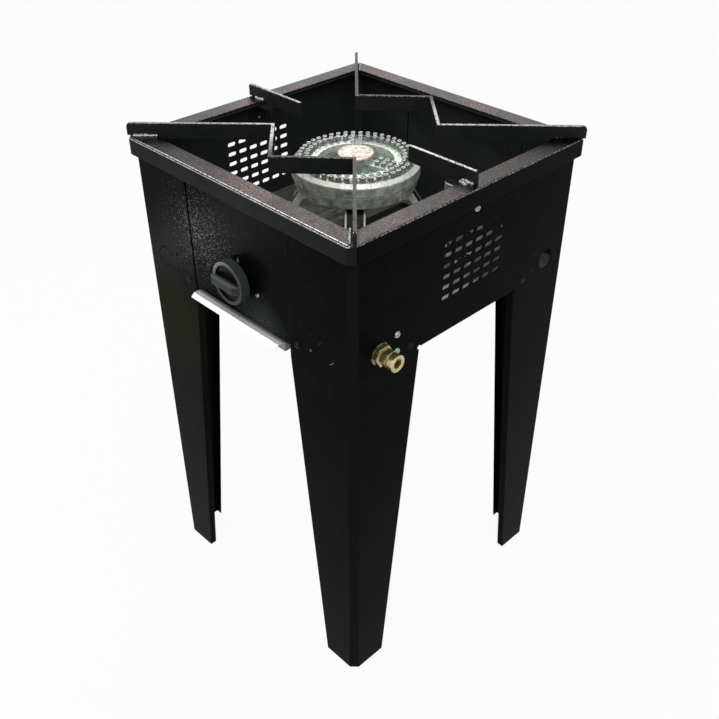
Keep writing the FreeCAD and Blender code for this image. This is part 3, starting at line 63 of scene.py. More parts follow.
mm = 0.001
dice = random.Random(7)
print("one millimetre is", mm, "of Blender's units")

# %% [markdown]
# ## The camera
# The photograph was taken from above the stove's front right corner, at a height of about 1.12 metres. A lens
# of 46 mm on a 36 mm sensor gives the same vanishing points. The camera looks along one measured direction,
# and `to_track_quat` turns that direction into a rotation, which is simpler than three angles.

# %% Place the camera
camera_place = (0.7640, -0.7428, 1.1171)
camera_look = Vector((-0.57808, 0.56684, -0.58695))
lens = bpy.data.cameras.new("camera")
lens.lens = 45.78
lens.sensor_width = 36
camera = bpy.data.objects.new("camera", lens)
camera.location = camera_place
camera.rotation_euler = camera_look.to_track_quat("-Z", "Y").to_euler()
bpy.context.scene.collection.objects.link(camera)
bpy.context.scene.camera = camera
print("camera at", camera_place)

# %% [markdown]
# ## Nodes in code
# A material is a small graph. A few short helpers keep the graph readable: they add a node with its
# values, join two sockets, do sums, and mix colours. A mask is a socket that is 1 where a look belongs and
# 0 elsewhere, so two masks are multiplied to get the place where both hold.

# %% Nodes and sums
def add_node(tree, kind, **values):
    """Add one node and set its inputs by name."""
    node = tree.nodes.new(kind)
    for name, value in values.items():
        node.inputs[name.replace("_", " ")].default_value = value
    return node


def join(tree, source, target):
    """Link one socket to another."""
    tree.links.new(source, target)


def number(tree, operation, first, second=0):
    """Add a Math node, whose inputs are numbers or sockets. All but products are kept from 0 to 1."""
    node = tree.nodes.new("ShaderNodeMath")
    node.operation = operation
    node.use_clamp = operation != "MULTIPLY"
    for socket, value in zip(node.inputs, (first, second)):
        if isinstance(value, (int, float)):
            socket.default_value = value
        else:
            join(tree, value, socket)
    return node.outputs[0]


def product(tree, first, *others):
    """Multiply sockets and numbers."""
    for other in others:
        first = number(tree, "MULTIPLY", first, other)
    return first


print("nodes and sums ready")

# %% Ranges and colours
def remap(tree, source, low, high, start=0, end=1):
    """Turn the range low to high of a socket into start to end."""
    node = add_node(tree, "ShaderNodeMapRange", From_Min=low, From_Max=high, To_Min=start, To_Max=end)
    join(tree, source, node.inputs["Value"])
    return node.outputs[0]


def ramp(tree, length, low, high, start=0, end=1):
    """Do the same for a length, with low and high in millimetres."""
    return remap(tree, length, low * mm, high * mm, start, end)


def between(tree, length, low, high, soft=0.3):
    """A mask of the places where a length is between two values in millimetres."""
    above = ramp(tree, length, low, low + soft)
    return product(tree, above, ramp(tree, length, high - soft, high, 1, 0))


def blend_colors(tree, factor, first, second):
    """Mix two colours, each a tuple or a socket, by a factor socket."""
    node = tree.nodes.new("ShaderNodeMix")
    node.data_type = "RGBA"
    join(tree, factor, node.inputs[0])
    for socket, value in ((node.inputs[6], first), (node.inputs[7], second)):
        if isinstance(value, tuple):
            socket.default_value = (*value, 1)
        else:
            join(tree, value, socket)
    return node.outputs[2]


print("ranges and colours ready")

# %% [markdown]
# ## Studio light
# The real stove stood under a bright sky: its level faces shine and its upright faces stay nearly black.
# One lamp behind it, where the camera's view would bounce off a level face, gives that shine. A second at
# the front left draws a bright line along the rim's bend, a small near one lights the front's left half,
# and two wide ones fill the burner's pit from above and from the camera's side. A narrow spot shines
# through the left vents and leaves a few light slots on the floor of the box. No lamp is seen itself.

# %% Hang the lamps
def add_lamp(name, place, aim, width, power):
    """Hang one square lamp at a place, facing a point."""
    light = bpy.data.lights.new(name, "AREA")
    light.size = width
    light.energy = power
    lamp = bpy.data.objects.new(name, light)
    lamp.location = place
    lamp.rotation_euler = (Vector(aim) - Vector(place)).to_track_quat("-Z", "Y").to_euler()
    lamp.visible_camera = False
    bpy.context.scene.collection.objects.link(lamp)
    return lamp


burner_middle = (0, 0, 0.65)
vents_middle = (-0.1935, 0, 0.60)
add_lamp("sky_lamp", (-1.15, 1.15, 1.95), burner_middle, 0.8, 7)
add_lamp("bend_lamp", (-1.04, -1.26, 1.70), (0, -0.19, 0.68), 0.4, 6)
add_lamp("glint_lamp", (-0.495, -0.46, 0.325), (-0.1, -0.19, 0.57), 0.05, 0.16)
add_lamp("top_lamp", (0.25, -0.25, 2.2), burner_middle, 0.9, 5)
add_lamp("fill_lamp", (1.1, -1.1, 1.9), burner_middle, 1.2, 8)
vent_lamp = add_lamp("vent_lamp", (-0.74, -0.33, 1.315), vents_middle, 0.01, 18)
vent_lamp.data.type = "SPOT"
vent_lamp.data.spot_size = math.radians(7)
vent_lamp.data.spot_blend = 0.3
vent_lamp.data.shadow_soft_size = 0.006

# %% [markdown]
# ## White surroundings
# The camera and the reflections see a white world and a white floor. As light, the world is weaker, so
# that the lamps give the stove its form.

# %% A white world
world_light = 0.55


def seen_directly(tree):
    """A mask of what the camera, a reflection or a glass sees."""
    path = tree.nodes.new("ShaderNodeLightPath")
    either = number(tree, "MAXIMUM", path.outputs["Is Camera Ray"], path.outputs["Is Glossy Ray"])
    return number(tree, "MAXIMUM", either, path.outputs["Is Transmission Ray"])


world = bpy.data.worlds.new("studio")
bpy.context.scene.world = world
world.use_nodes = True
sky = world.node_tree
background = sky.nodes["Background"]
join(sky, remap(sky, seen_directly(sky), 0, 1, world_light, 1), background.inputs["Strength"])
background.inputs["Color"].default_value = (1, 1, 1, 1)
print("as light, the world has a strength of", world_light)

# %% A white floor
floor_glow = 0.92
floor_half = 8
floor_paint = bpy.data.materials.new("studio_floor")
floor_paint.use_nodes = True
ground = floor_paint.node_tree
ground.nodes.clear()
matt = add_node(ground, "ShaderNodeBsdfDiffuse", Color=(0.92, 0.92, 0.92, 1))
white = add_node(ground, "ShaderNodeEmission", Color=(1, 1, 1, 1), Strength=1.0)
mixer = ground.nodes.new("ShaderNodeMixShader")
join(ground, product(ground, seen_directly(ground), floor_glow), mixer.inputs[0])
join(ground, matt.outputs[0], mixer.inputs[1])
join(ground, white.outputs[0], mixer.inputs[2])
join(ground, mixer.outputs[0], ground.nodes.new("ShaderNodeOutputMaterial").inputs[0])

floor_corners = [(x * floor_half, y * floor_half, 0) for x, y in ((-1, -1), (1, -1), (1, 1), (-1, 1))]
floor_mesh = bpy.data.meshes.new("floor")
floor_mesh.from_pydata(floor_corners, [], [(0, 1, 2, 3)])
floor_mesh.materials.append(floor_paint)
floor = bpy.data.objects.new("floor", floor_mesh)
bpy.context.scene.collection.objects.link(floor)
print("floor from", floor_corners[0], "to", floor_corners[2])

# %% [markdown]
# ## Where a look belongs
# Most marks on the stove sit at a known place, such as a height, a distance from the burner's axis or the
# side of a wall that faces inwards. These helpers turn such places into sockets. The Bevel node rounds the
# shading at the edges, and where its normal differs from the face's own normal there is an edge.

# %% Places as sockets
def place_of(tree):
    """The surface's X, Y and Z."""
    place = tree.nodes.new("ShaderNodeTexCoord")
    parts = tree.nodes.new("ShaderNodeSeparateXYZ")
    join(tree, place.outputs["Object"], parts.inputs[0])
    return parts.outputs


def radius_of(tree):
    """Distance from the burner's axis."""
    spot = place_of(tree)
    squares = [product(tree, spot[axis], spot[axis]) for axis in "XY"]
    return number(tree, "SQRT", number(tree, "ADD", *squares))


def away_from(tree, point):
    """Distance from a point given in millimetres."""
    place = tree.nodes.new("ShaderNodeTexCoord")
    gap = tree.nodes.new("ShaderNodeVectorMath")
    gap.operation = "DISTANCE"
    join(tree, place.outputs["Object"], gap.inputs[0])
    gap.inputs[1].default_value = Vector(point) * mm
    return gap.outputs["Value"]


def facing_in(tree):
    """A mask of the wall faces that look at the stove's middle from 120 mm away or more."""
    face = tree.nodes.new("ShaderNodeNewGeometry")
    place = tree.nodes.new("ShaderNodeTexCoord")
    outwards = tree.nodes.new("ShaderNodeVectorMath")
    outwards.operation = "DOT_PRODUCT"
    join(tree, face.outputs["Normal"], outwards.inputs[0])
    join(tree, place.outputs["Object"], outwards.inputs[1])
    return ramp(tree, outwards.outputs["Value"], -120, -80, 1, 0)


def edge_mask(tree, width):
    """Return the rounded normal and a mask of the edges."""
    bevel = add_node(tree, "ShaderNodeBevel", Radius=width * mm)
    bevel.samples = 6
    face = tree.nodes.new("ShaderNodeNewGeometry")
    likeness = tree.nodes.new("ShaderNodeVectorMath")
    likeness.operation = "DOT_PRODUCT"
    join(tree, bevel.outputs[0], likeness.inputs[0])
    join(tree, face.outputs["Normal"], likeness.inputs[1])
    return bevel.outputs[0], remap(tree, likeness.outputs["Value"], 0.88, 1, 1, 0)


print("places ready")

# %% [markdown]
# ## A worn surface
# Every finish here shares one recipe. One noise varies the colour and another the roughness, and one or two
# bumps give the grain. The edges get the colour of wear. A finish may also have another colour above a
# height, which is how the rim and the bars lose their paint on top.

# %% Noise and bumps
def grain(tree, size, detail=3.0):
    """Noise whose lumps are about one size in millimetres, in the stove's own space."""
    place = tree.nodes.new("ShaderNodeTexCoord")
    noise = add_node(tree, "ShaderNodeTexNoise", Scale=1 / (size * mm), Detail=detail, Roughness=0.55)
    join(tree, place.outputs["Object"], noise.inputs["Vector"])
    return noise.outputs["Fac"]


def patchy(tree, size, low, high, start=0, end=1):
    """Noise in which low and less becomes start, and high and more becomes end."""
    return remap(tree, grain(tree, size), low, high, start, end)


def bump(tree, height, depth, normal):
    """Raise the surface by a height socket."""
    node = add_node(tree, "ShaderNodeBump", Strength=1.0, Distance=depth * mm)
    join(tree, height, node.inputs["Height"])
    join(tree, normal, node.inputs["Normal"])
    return node.outputs[0]


print("noise ready")

# %% The recipe
def shader_of(material):
    """Return a material's tree and its shader node."""
    return material.node_tree, material.node_tree.nodes["Principled BSDF"]


def wear_top(material, color, edges, level, dull, bright, bend):
    """Bare the metal above a level, speckle the bend below it, and return the new colour and the wear."""
    tree, shader = shader_of(material)
    height = place_of(tree)["Z"]
    on_top = ramp(tree, height, level - 0.3, level - 0.1)
    below_top = ramp(tree, height, level - 0.3, level - 0.1, 1, 0)
    above_bend = ramp(tree, height, level - bend, level - 0.8 * bend)
    specks = patchy(tree, 1.7, 0.47, 0.55, 0.02, 1)
    patches = patchy(tree, 70, 0.42, 0.58, 0.45, 1)
    flakes = patchy(tree, 2.4, 0.46, 0.58)
    bare = blend_colors(tree, product(tree, specks, patches), dull, bright)
    worn_edges = number(tree, "MAXIMUM", edges, product(tree, above_bend, below_top))
    wear = product(tree, worn_edges, flakes, above_bend)
    join(tree, number(tree, "MAXIMUM", on_top, wear), shader.inputs["Metallic"])
    return blend_colors(tree, on_top, color, bare), wear


def finish(name, dark, light, worn, rough, grains, metal=0.0, gloss=0.5, edge=0.8, patch=40, top=None):
    """Make a finish: two colours, an edge colour, two roughnesses and a list of (size, depth) grains.

    All lengths are in millimetres. top is the height from which the paint is gone, the two colours of the
    bare metal there, and the depth of the bend below it.
    """
    material = bpy.data.materials.new(name)
    material.use_nodes = True
    tree, shader = shader_of(material)
    shader.inputs["Metallic"].default_value = metal
    shader.inputs["Specular IOR Level"].default_value = gloss
    color = blend_colors(tree, patchy(tree, patch, 0.3, 0.7), dark, light)
    normal, edges = edge_mask(tree, edge)
    if top:
        color, wear = wear_top(material, color, edges, *top)
    else:
        wear = product(tree, edges, patchy(tree, 3, 0.35, 0.65))
    join(tree, blend_colors(tree, wear, color, worn), shader.inputs["Base Color"])
    join(tree, patchy(tree, 12, 0.3, 0.7, *rough), shader.inputs["Roughness"])
    for size, depth in grains:
        normal = bump(tree, grain(tree, size), depth, normal)
    join(tree, normal, shader.inputs["Normal"])
    return material


print("recipe ready")

# %% [markdown]
# ## Paint
# The box has a black powder coat with an orange peel grain. It is a weak mirror, so its specular level is
# low and only the lamps show in it. The rim's flat top and the bars' top edges have lost their paint to
# pots and hands: there the finish turns into dull brown metal with bright specks.

# %% Black powder coats
rim_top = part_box("rim_frame")[1].z / mm
bar_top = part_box("pot_support_front")[1].z / mm
rim_metal = (rim_top, (0.007, 0.006, 0.0055), (0.160, 0.112, 0.098), 1.4)
bar_metal = (bar_top, (0.003, 0.0024, 0.0024), (0.015, 0.010, 0.0095), 1.0)
box_paint = finish("box_paint", (0.0016, 0.0023, 0.0020), (0.0028, 0.0036, 0.0032), (0.010, 0.010, 0.009),
                   (0.10, 0.15), [(2.0, 0.35), (0.9, 0.06)], gloss=0.010)
rim_paint = finish("rim_paint", (0.0120, 0.0130, 0.0127), (0.0165, 0.0175, 0.0172), (0.30, 0.28, 0.27),
                   (0.2, 0.34), [(1.6, 0.22), (0.8, 0.08)], gloss=0.015, edge=1.0, top=rim_metal)
bar_paint = finish("bar_paint", (0.014, 0.0152, 0.0152), (0.021, 0.0222, 0.0222), (0.46, 0.44, 0.43),
                   (0.16, 0.3), [(2.2, 0.20), (0.9, 0.06)], gloss=0.03, edge=0.55, top=bar_metal)
print("rim's top at", round(rim_top, 2), "mm, bars' top at", round(bar_top, 2), "mm")

# %% [markdown]
# ## Marks on a finish
# A mark is one more colour laid over a finish through a mask. It may also make the place bare metal.

# %% Lay a mark over a finish
def feeding(material, socket):
    """Return the socket that feeds an input of the shader."""
    return shader_of(material)[1].inputs[socket].links[0].from_socket


def recolor(material, mask, color, bare=False):
    """Give the part of a surface where a mask is 1 another colour, and make it bare metal or not."""
    tree, shader = shader_of(material)
    join(tree, blend_colors(tree, mask, feeding(material, "Base Color"), color), shader.inputs["Base Color"])
    if bare:
        join(tree, number(tree, "MAXIMUM", feeding(material, "Metallic"), mask), shader.inputs["Metallic"])


print("marks ready")

# %% [markdown]
# ## The box's marks
# Painted light makes the box a little lighter inside and at the corner facet nearest the camera. One leg has
# painted olive light, the front's left half has painted glints in its colour as light specks, and a painted
# reflection of the tray's handle lies on the front above the tray. A painted shadow and a painted highlight
# mark the seams where the cover sheet laps behind the legs.

# %% Mark the box
front_face = -195
olive_light_middle = (-158, front_face, 440)
glint_middle = (-72, front_face, 592)
handle_reflection_middle = (38, front_face, 505)
floor_low, floor_high = 500, 510
olive_light_reach, glint_reach, crowd_reach, handle_reflection_reach = (40, 110), (8, 95), (8, 80), (4, 55)
facet_start = 380.0
left_seam, right_seam = (-91.0, -89.0), (90.4, 91.6)
painted_wall_light, painted_facet_light = (0.030, 0.034, 0.034), (0.0075, 0.0085, 0.0075)
painted_olive_light, painted_glint_silver, painted_handle_reflection = (0.010, 0.0095, 0.003), (0.42, 0.43, 0.385), (0.085, 0.105, 0.105)
painted_seam_shadow, painted_seam_highlight = (0.0003, 0.0003, 0.0003), (0.012, 0.013, 0.012)


def mark_box(paint):
    """Paint light on the walls, one leg and the facet, glints on the front, shade and light on the seams, and
    the handle's reflection.
    """
    tree = paint.node_tree
    spot = place_of(tree)
    above_floor = ramp(tree, spot["Z"], floor_low, floor_high)
    # Painted light: the walls are a little lighter inside the box.
    recolor(paint, product(tree, facing_in(tree), above_floor), painted_wall_light)
    # Painted olive light on the front left leg.
    recolor(paint, ramp(tree, away_from(tree, olive_light_middle), *olive_light_reach, 0.8, 0), painted_olive_light)

    # Painted glints: light specks in the paint's colour, crowded round one point on the front's left half.
    from_glint = away_from(tree, glint_middle)
    crowding = ramp(tree, from_glint, *crowd_reach, 0.060, 0)
    specks = remap(tree, number(tree, "ADD", grain(tree, 1.2, 1), crowding), 0.692, 0.718)
    fading = ramp(tree, from_glint, *glint_reach, 1, 0.04)
    recolor(paint, product(tree, specks, fading), painted_glint_silver)

    # Painted light on the corner facet nearest the camera.
    across = number(tree, "SUBTRACT", spot["X"], spot["Y"])
    recolor(paint, ramp(tree, across, facet_start, facet_start + 0.3), painted_facet_light)
    # A painted shadow along the left seam and a painted highlight along the right one.
    recolor(paint, between(tree, spot["X"], *left_seam), painted_seam_shadow)
    recolor(paint, between(tree, spot["X"], *right_seam), painted_seam_highlight)

    # A painted reflection of the tray's handle on the front above the tray, broken by the paint's grain.
    near_tray = ramp(tree, away_from(tree, handle_reflection_middle), *handle_reflection_reach, 0.85, 0)
    recolor(paint, product(tree, near_tray, patchy(tree, 1.5, 0.44, 0.60, 0.12, 1)), painted_handle_reflection)


mark_box(box_paint)
print("nodes in the box's paint:", len(box_paint.node_tree.nodes))

# %% [markdown]
# ## The rim's and the bars' marks
# Along its front the rim has two painted highlights on bare metal, one on each side of its bend, with a
# painted dark line between them. Two of its corners are darker, painted shade darkens its right side, and
# more painted shade darkens the lip there. The product of X and Y is large and positive only towards the
# front left and the back right corner, so it picks those two. There, and on the straight bars, the bars' top
# edges carry painted highlights. The right support's strap is light grey, in a copy of the bars' paint:
# partly its bare metal and partly painted light.

# %% Mark the rim
corner_brown, painted_side_shade, painted_lip_shade = (0.030, 0.028, 0.026), (0.022, 0.018, 0.017), (0.002, 0.002, 0.002)
upper_bare_highlight, lower_bare_highlight, painted_gap_shade = (0.97, 0.96, 0.95), (0.50, 0.50, 0.52), (0.012, 0.012, 0.012)
bend_back, bend_front = 197.2, 199.3
gap_low, line_low = rim_top - 1.0, rim_top - 2.3
shade_start, lip_start = 165, 199.0


def mark_rim(paint):
    """Darken two corners, paint shade on the right side and its lip, and paint two highlight lines along the
    front with painted shade between them.
    """
    tree = paint.node_tree
    spot = place_of(tree)
    on_top = ramp(tree, spot["Z"], rim_top - 0.3, rim_top - 0.1)
    two_corners = remap(tree, product(tree, spot["X"], spot["Y"]), 0.011, 0.027, 0, 0.92)
    recolor(paint, product(tree, on_top, two_corners), corner_brown)
    # Painted shade on the right side of the top, and darker painted shade on the lip there.
    right_side = ramp(tree, spot["X"], shade_start, shade_start + 10, 0, 0.5)
    recolor(paint, product(tree, on_top, right_side), painted_side_shade)
    right_lip = ramp(tree, spot["X"], lip_start, lip_start + 0.6)
    below_bend = ramp(tree, spot["Z"], rim_top - 2.2, rim_top - 1.6, 1, 0)
    recolor(paint, product(tree, right_lip, below_bend), painted_lip_shade)

    # Painted highlights: two bright lines of bare metal along the front, with a painted dark line between
    # them.
    forward = product(tree, spot["Y"], -1.0)
    at_front = ramp(tree, forward, bend_back, bend_back + 0.4)
    highlight_breaks = patchy(tree, 1.6, 0.40, 0.50)
    upper_line = between(tree, forward, bend_back, bend_front)
    recolor(paint, product(tree, upper_line, on_top, highlight_breaks), upper_bare_highlight, bare=True)
    gap = between(tree, spot["Z"], gap_low, rim_top - 0.1)
    recolor(paint, product(tree, gap, at_front), painted_gap_shade)
    lower_line = between(tree, spot["Z"], line_low, gap_low)
    recolor(paint, product(tree, lower_line, at_front, highlight_breaks), lower_bare_highlight, bare=True)


mark_rim(rim_paint)
print("nodes in the rim's paint:", len(rim_paint.node_tree.nodes))

# %% Paint highlights on the bars, and light grey on the right strap
painted_bar_highlight = (0.42, 0.41, 0.40)
strap_bare_and_painted_light = (0.80, 0.81, 0.79)
strap_top = 677.5
straight_half = 3


def mark_bars(paint):
    """Paint highlights on the top edges towards two corners and on the straight bars."""
    tree = paint.node_tree
    spot = place_of(tree)
    on_top = ramp(tree, spot["Z"], bar_top - 0.3, bar_top - 0.1)
    two_corners = remap(tree, product(tree, spot["X"], spot["Y"]), 0.001, 0.004)
    straight_bars = ramp(tree, number(tree, "ABSOLUTE", spot["Y"]), straight_half, straight_half + 1, 1, 0)
    highlighted_bars = number(tree, "MAXIMUM", two_corners, straight_bars)
    specks = patchy(tree, 1.8, 0.42, 0.50, 0.1, 1)
    # Painted highlights on the bars' top edges.
    recolor(paint, product(tree, highlighted_bars, on_top, specks), painted_bar_highlight)


mark_bars(bar_paint)
# The strap's light grey is partly its bare metal and partly painted light.
strap_paint = bar_paint.copy()
strap_paint.name = "strap_paint"
strap_height = place_of(strap_paint.node_tree)["Z"]
on_strap = ramp(strap_paint.node_tree, strap_height, strap_top - 0.2, strap_top, 1, 0)
recolor(strap_paint, on_strap, strap_bare_and_painted_light)
print("strap bare below", strap_top, "mm")

# %% [markdown]
# ## Cast and turned metal
# The burner is cast aluminium, a greenish grey with a fine sandy grain. The cap, the gas fittings and the
# screws have their own alloys.

# %% Metals
cast_alloy = finish("cast_alloy", (0.26, 0.35, 0.285), (0.90, 0.98, 0.89), (0.95, 0.96, 0.92),
                    (0.18, 0.40), [(5, 1.1), (1.4, 0.18)], metal=0.45, edge=1.4, patch=11)
cap_metal = finish("cap_metal", (0.30, 0.22, 0.175), (0.84, 0.79, 0.70), (0.92, 0.90, 0.84),
                   (0.28, 0.45), [(3.5, 0.5), (0.8, 0.05)], metal=0.6, patch=5, edge=1.4)
tube_metal = finish("tube_metal", (0.30, 0.30, 0.28), (0.48, 0.47, 0.44), (0.62, 0.61, 0.58),
                    (0.28, 0.45), [(2.0, 0.05)], metal=0.9)
valve_metal = finish("valve_metal", (0.28, 0.27, 0.24), (0.42, 0.40, 0.36), (0.58, 0.55, 0.48),
                     (0.3, 0.5), [(1.4, 0.06)], metal=0.85)
brass = finish("brass", (0.40, 0.33, 0.15), (0.62, 0.54, 0.30), (0.88, 0.82, 0.56),
               (0.16, 0.3), [(1.8, 0.03)], metal=0.9, patch=7)
screw_zinc = finish("screw_zinc", (0.26, 0.28, 0.28), (0.46, 0.48, 0.49), (0.86, 0.88, 0.90),
                    (0.18, 0.34), [(1.1, 0.03)], metal=0.95, patch=4, edge=0.3)
# Painted shade within the inlet's mouth stands for the depth of its bore.
inlet_mouth, bore_radius = (217, -152, 530), 5.4
inlet_bore_shade = (0.05, 0.04, 0.02)
from_mouth = away_from(brass.node_tree, inlet_mouth)
in_bore = ramp(brass.node_tree, from_mouth, bore_radius, bore_radius + 0.5, 1, 0)
recolor(brass, in_bore, inlet_bore_shade)
print("metals:", [m.name for m in (cast_alloy, cap_metal, tube_metal, valve_metal, brass, screw_zinc)])

# %% [markdown]
# ## The burner's marks
# The outer land and the inner lip of the ring were turned bright on a lathe and carry painted highlights, and
# painted shade darkens the face between the jets, which is also rougher. Where the two castings meet, a
# painted highlight line lies over a painted shaded groove, and painted shade darkens the studs of the jets.

# %% Mark the burner
burner_land, burner_seam = 653, 637
hub_radius, wall_radius = 25, 70
lip_radii, jet_radii, land_radii = (47, 51), (56, 75), (74.5, 82)
turned_land_and_highlight, turned_lip_and_highlight, painted_cast_seam_highlight = (0.80, 0.79, 0.71), (0.92, 0.92, 0.86), (0.97, 0.97, 0.93)
painted_jet_shade, painted_groove_shade, painted_stud_shade = (0.09, 0.11, 0.095), (0.03, 0.035, 0.03), (0.26, 0.29, 0.26)


def mark_burner(alloy):
    """Paint highlights on the turned bands, shade between the jets, highlight and groove shade at the seam,
    and shade on the studs.
    """
    tree, shader = shader_of(alloy)
    height = place_of(tree)["Z"]
    radius = radius_of(tree)
    blotch = patchy(tree, 7, 0.38, 0.56, 0.3, 1)
    # The turned bands: light metal with painted highlights.
    on_land = between(tree, height, burner_land - 7, burner_land + 0.3)
    outer_land = between(tree, radius, *land_radii)
    recolor(alloy, product(tree, on_land, outer_land, blotch), turned_land_and_highlight)
    inner_lip = between(tree, radius, *lip_radii)
    recolor(alloy, product(tree, on_land, inner_lip, blotch), turned_lip_and_highlight)

    # Painted shade on the face between the jets, which is also rougher.
    jet_shade_mask = product(tree, between(tree, radius, *jet_radii, 1.5), blotch)
    recolor(alloy, jet_shade_mask, painted_jet_shade)
    rough = number(tree, "MAXIMUM", feeding(alloy, "Roughness"), product(tree, jet_shade_mask, 0.75))
    join(tree, rough, shader.inputs["Roughness"])

    # A painted highlight line over a painted shaded groove where the castings meet.
    outside = ramp(tree, radius, wall_radius, wall_radius + 1)
    dashes = patchy(tree, 11, 0.46, 0.52)
    bright_line = between(tree, height, burner_seam - 1.6, burner_seam + 0.1)
    recolor(alloy, product(tree, bright_line, outside, dashes), painted_cast_seam_highlight)
    groove = between(tree, height, burner_seam + 0.1, burner_seam + 1.0)
    recolor(alloy, product(tree, groove, outside), painted_groove_shade)

    # Painted shade on the studs of the jets.
    studs = ramp(tree, height, burner_land + 0.3, burner_land + 0.6)
    beyond_hub = ramp(tree, radius, hub_radius, hub_radius + 1)
    recolor(alloy, product(tree, studs, beyond_hub), painted_stud_shade)


mark_burner(cast_alloy)
print("nodes in the burner's alloy:", len(cast_alloy.node_tree.nodes))

# %% [markdown]
# ## Zinc and steel sheet
# The floor and the drip tray are galvanised: zinc freezes in flat crystals, so a Voronoi pattern varies
# the colour and roughness cell by cell. A painted pool of light brightens the floor at the back right, where
# daylight falls on it. The tray is a lighter copy of the zinc, partly painted light for its brightly lit
# handle, and painted shade darkens it behind its handle. The stand under the burner is dull steel with
# painted highlights on its bends.

# %% Sheet metals
galvanised = finish("galvanised", (0.175, 0.168, 0.146), (0.35, 0.34, 0.30), (0.62, 0.62, 0.58),
                    (0.26, 0.44), [(14, 0.35), (2.5, 0.02)], metal=0.7, patch=60)
# The tray's zinc is lighter than the floor's: partly its zinc and partly painted light for its handle.
tray_zinc_and_painted_light = finish("tray_zinc_and_painted_light", (0.84, 0.86, 0.87), (0.94, 0.95, 0.95), (0.92, 0.93, 0.93),
                   (0.2, 0.36), [(9, 0.2), (2.0, 0.03)], metal=0.35, patch=30)
stand_steel = finish("stand_steel", (0.014, 0.015, 0.012), (0.040, 0.040, 0.032), (0.3, 0.3, 0.28),
                     (0.2, 0.38), [(3, 0.06)], gloss=0.05, patch=25)


def add_spangle(material, size, crystal):
    """Lay zinc crystals over a finish: each cell is a little lighter or darker, and rougher or smoother."""
    tree, shader = shader_of(material)
    place = tree.nodes.new("ShaderNodeTexCoord")
    cells = add_node(tree, "ShaderNodeTexVoronoi", Scale=1 / (size * mm))
    join(tree, place.outputs["Object"], cells.inputs["Vector"])
    tone = tree.nodes.new("ShaderNodeRGBToBW")
    join(tree, cells.outputs["Color"], tone.inputs[0])
    lighter = remap(tree, tone.outputs[0], 0.2, 0.8, 0, 0.5)
    recolor(material, lighter, crystal)
    rougher = remap(tree, tone.outputs[0], 0.2, 0.8, 0, 0.12)
    rough = number(tree, "ADD", feeding(material, "Roughness"), rougher)
    join(tree, rough, shader.inputs["Roughness"])


sheen_middle, sheen_reach = (62, 150, 510), (25, 80)
handle_back = -200
sheen_white, tray_shade = (0.92, 0.91, 0.86), (0.10, 0.095, 0.085)
# A painted pool of light on the floor at the back right.
on_sheen = ramp(galvanised.node_tree, away_from(galvanised.node_tree, sheen_middle), *sheen_reach, 0.9, 0)
recolor(galvanised, on_sheen, sheen_white)
add_spangle(galvanised, 5, (0.46, 0.455, 0.415))
add_spangle(tray_zinc_and_painted_light, 4, (0.90, 0.92, 0.93))
# Painted shade on the tray behind its handle.
tray_depth = place_of(tray_zinc_and_painted_light.node_tree)["Y"]
in_tray = ramp(tray_zinc_and_painted_light.node_tree, tray_depth, handle_back, handle_back + 3, 0, 0.85)
recolor(tray_zinc_and_painted_light, in_tray, tray_shade)
print("crystals of 5 and 4 mm")

# %% Mark the stand
painted_bend_highlight = (0.93, 0.94, 0.91)
plate_radius = 45
edge_offsets, knee_radii = (10.2, 13), (60, 82)


def mark_stand(steel):
    """Paint highlights on the folded edges of the legs: all along on the right, and at the knees on the left.
    """
    tree = steel.node_tree
    spot = place_of(tree)
    radius = radius_of(tree)
    wide, deep = number(tree, "ABSOLUTE", spot["X"]), number(tree, "ABSOLUTE", spot["Y"])
    wider, deeper = number(tree, "SUBTRACT", wide, deep), number(tree, "SUBTRACT", deep, wide)
    off_diagonal = product(tree, number(tree, "MAXIMUM", wider, deeper), 1 / math.sqrt(2))
    folded_edge = between(tree, off_diagonal, *edge_offsets)
    right_side = ramp(tree, spot["X"], -10, 0)
    knees = between(tree, radius, *knee_radii)
    bright = number(tree, "MAXIMUM", right_side, knees)
    on_leg = ramp(tree, radius, plate_radius, plate_radius + 2)
    # Painted highlights on the folded edges.
    recolor(steel, product(tree, folded_edge, bright, on_leg), painted_bend_highlight)


mark_stand(stand_steel)
print("nodes in the stand's steel:", len(stand_steel.node_tree.nodes))

# %% [markdown]
# ## The knob
# The knob is dark plastic. Painted highlights light the upper left of its ring and the long edges of its
# grip, and painted shade makes the recess inside the ring nearly black.

# %% Knob plastic
knob_plastic = finish("knob_plastic", (0.030, 0.034, 0.035), (0.045, 0.050, 0.051), (0.16, 0.17, 0.18),
                      (0.25, 0.38), [(0.9, 0.03)], gloss=0.05, edge=1.0, patch=20)
knob_height = 561
light_side, light_reach = (-22, -211, knob_height + 22), (6, 38)
recess_middle, ring_middle = (0, -209, knob_height), (0, -211.5, knob_height)
knob_recess, recess_radius = (208.2, 210.6), 22.8
ring_depths, ring_radius, ring_edges = (210.4, 212), 21.5, ((22.2, 23.2), (26.3, 27.4))
grip_start, grip_lines = 213, (knob_height - 5.2, knob_height + 4.2)
painted_recess_shade, painted_ring_highlight = (0.003, 0.003, 0.003), (0.21, 0.23, 0.245)
painted_ring_edge_highlight, painted_grip_highlight = (0.34, 0.36, 0.37), (0.11, 0.12, 0.125)


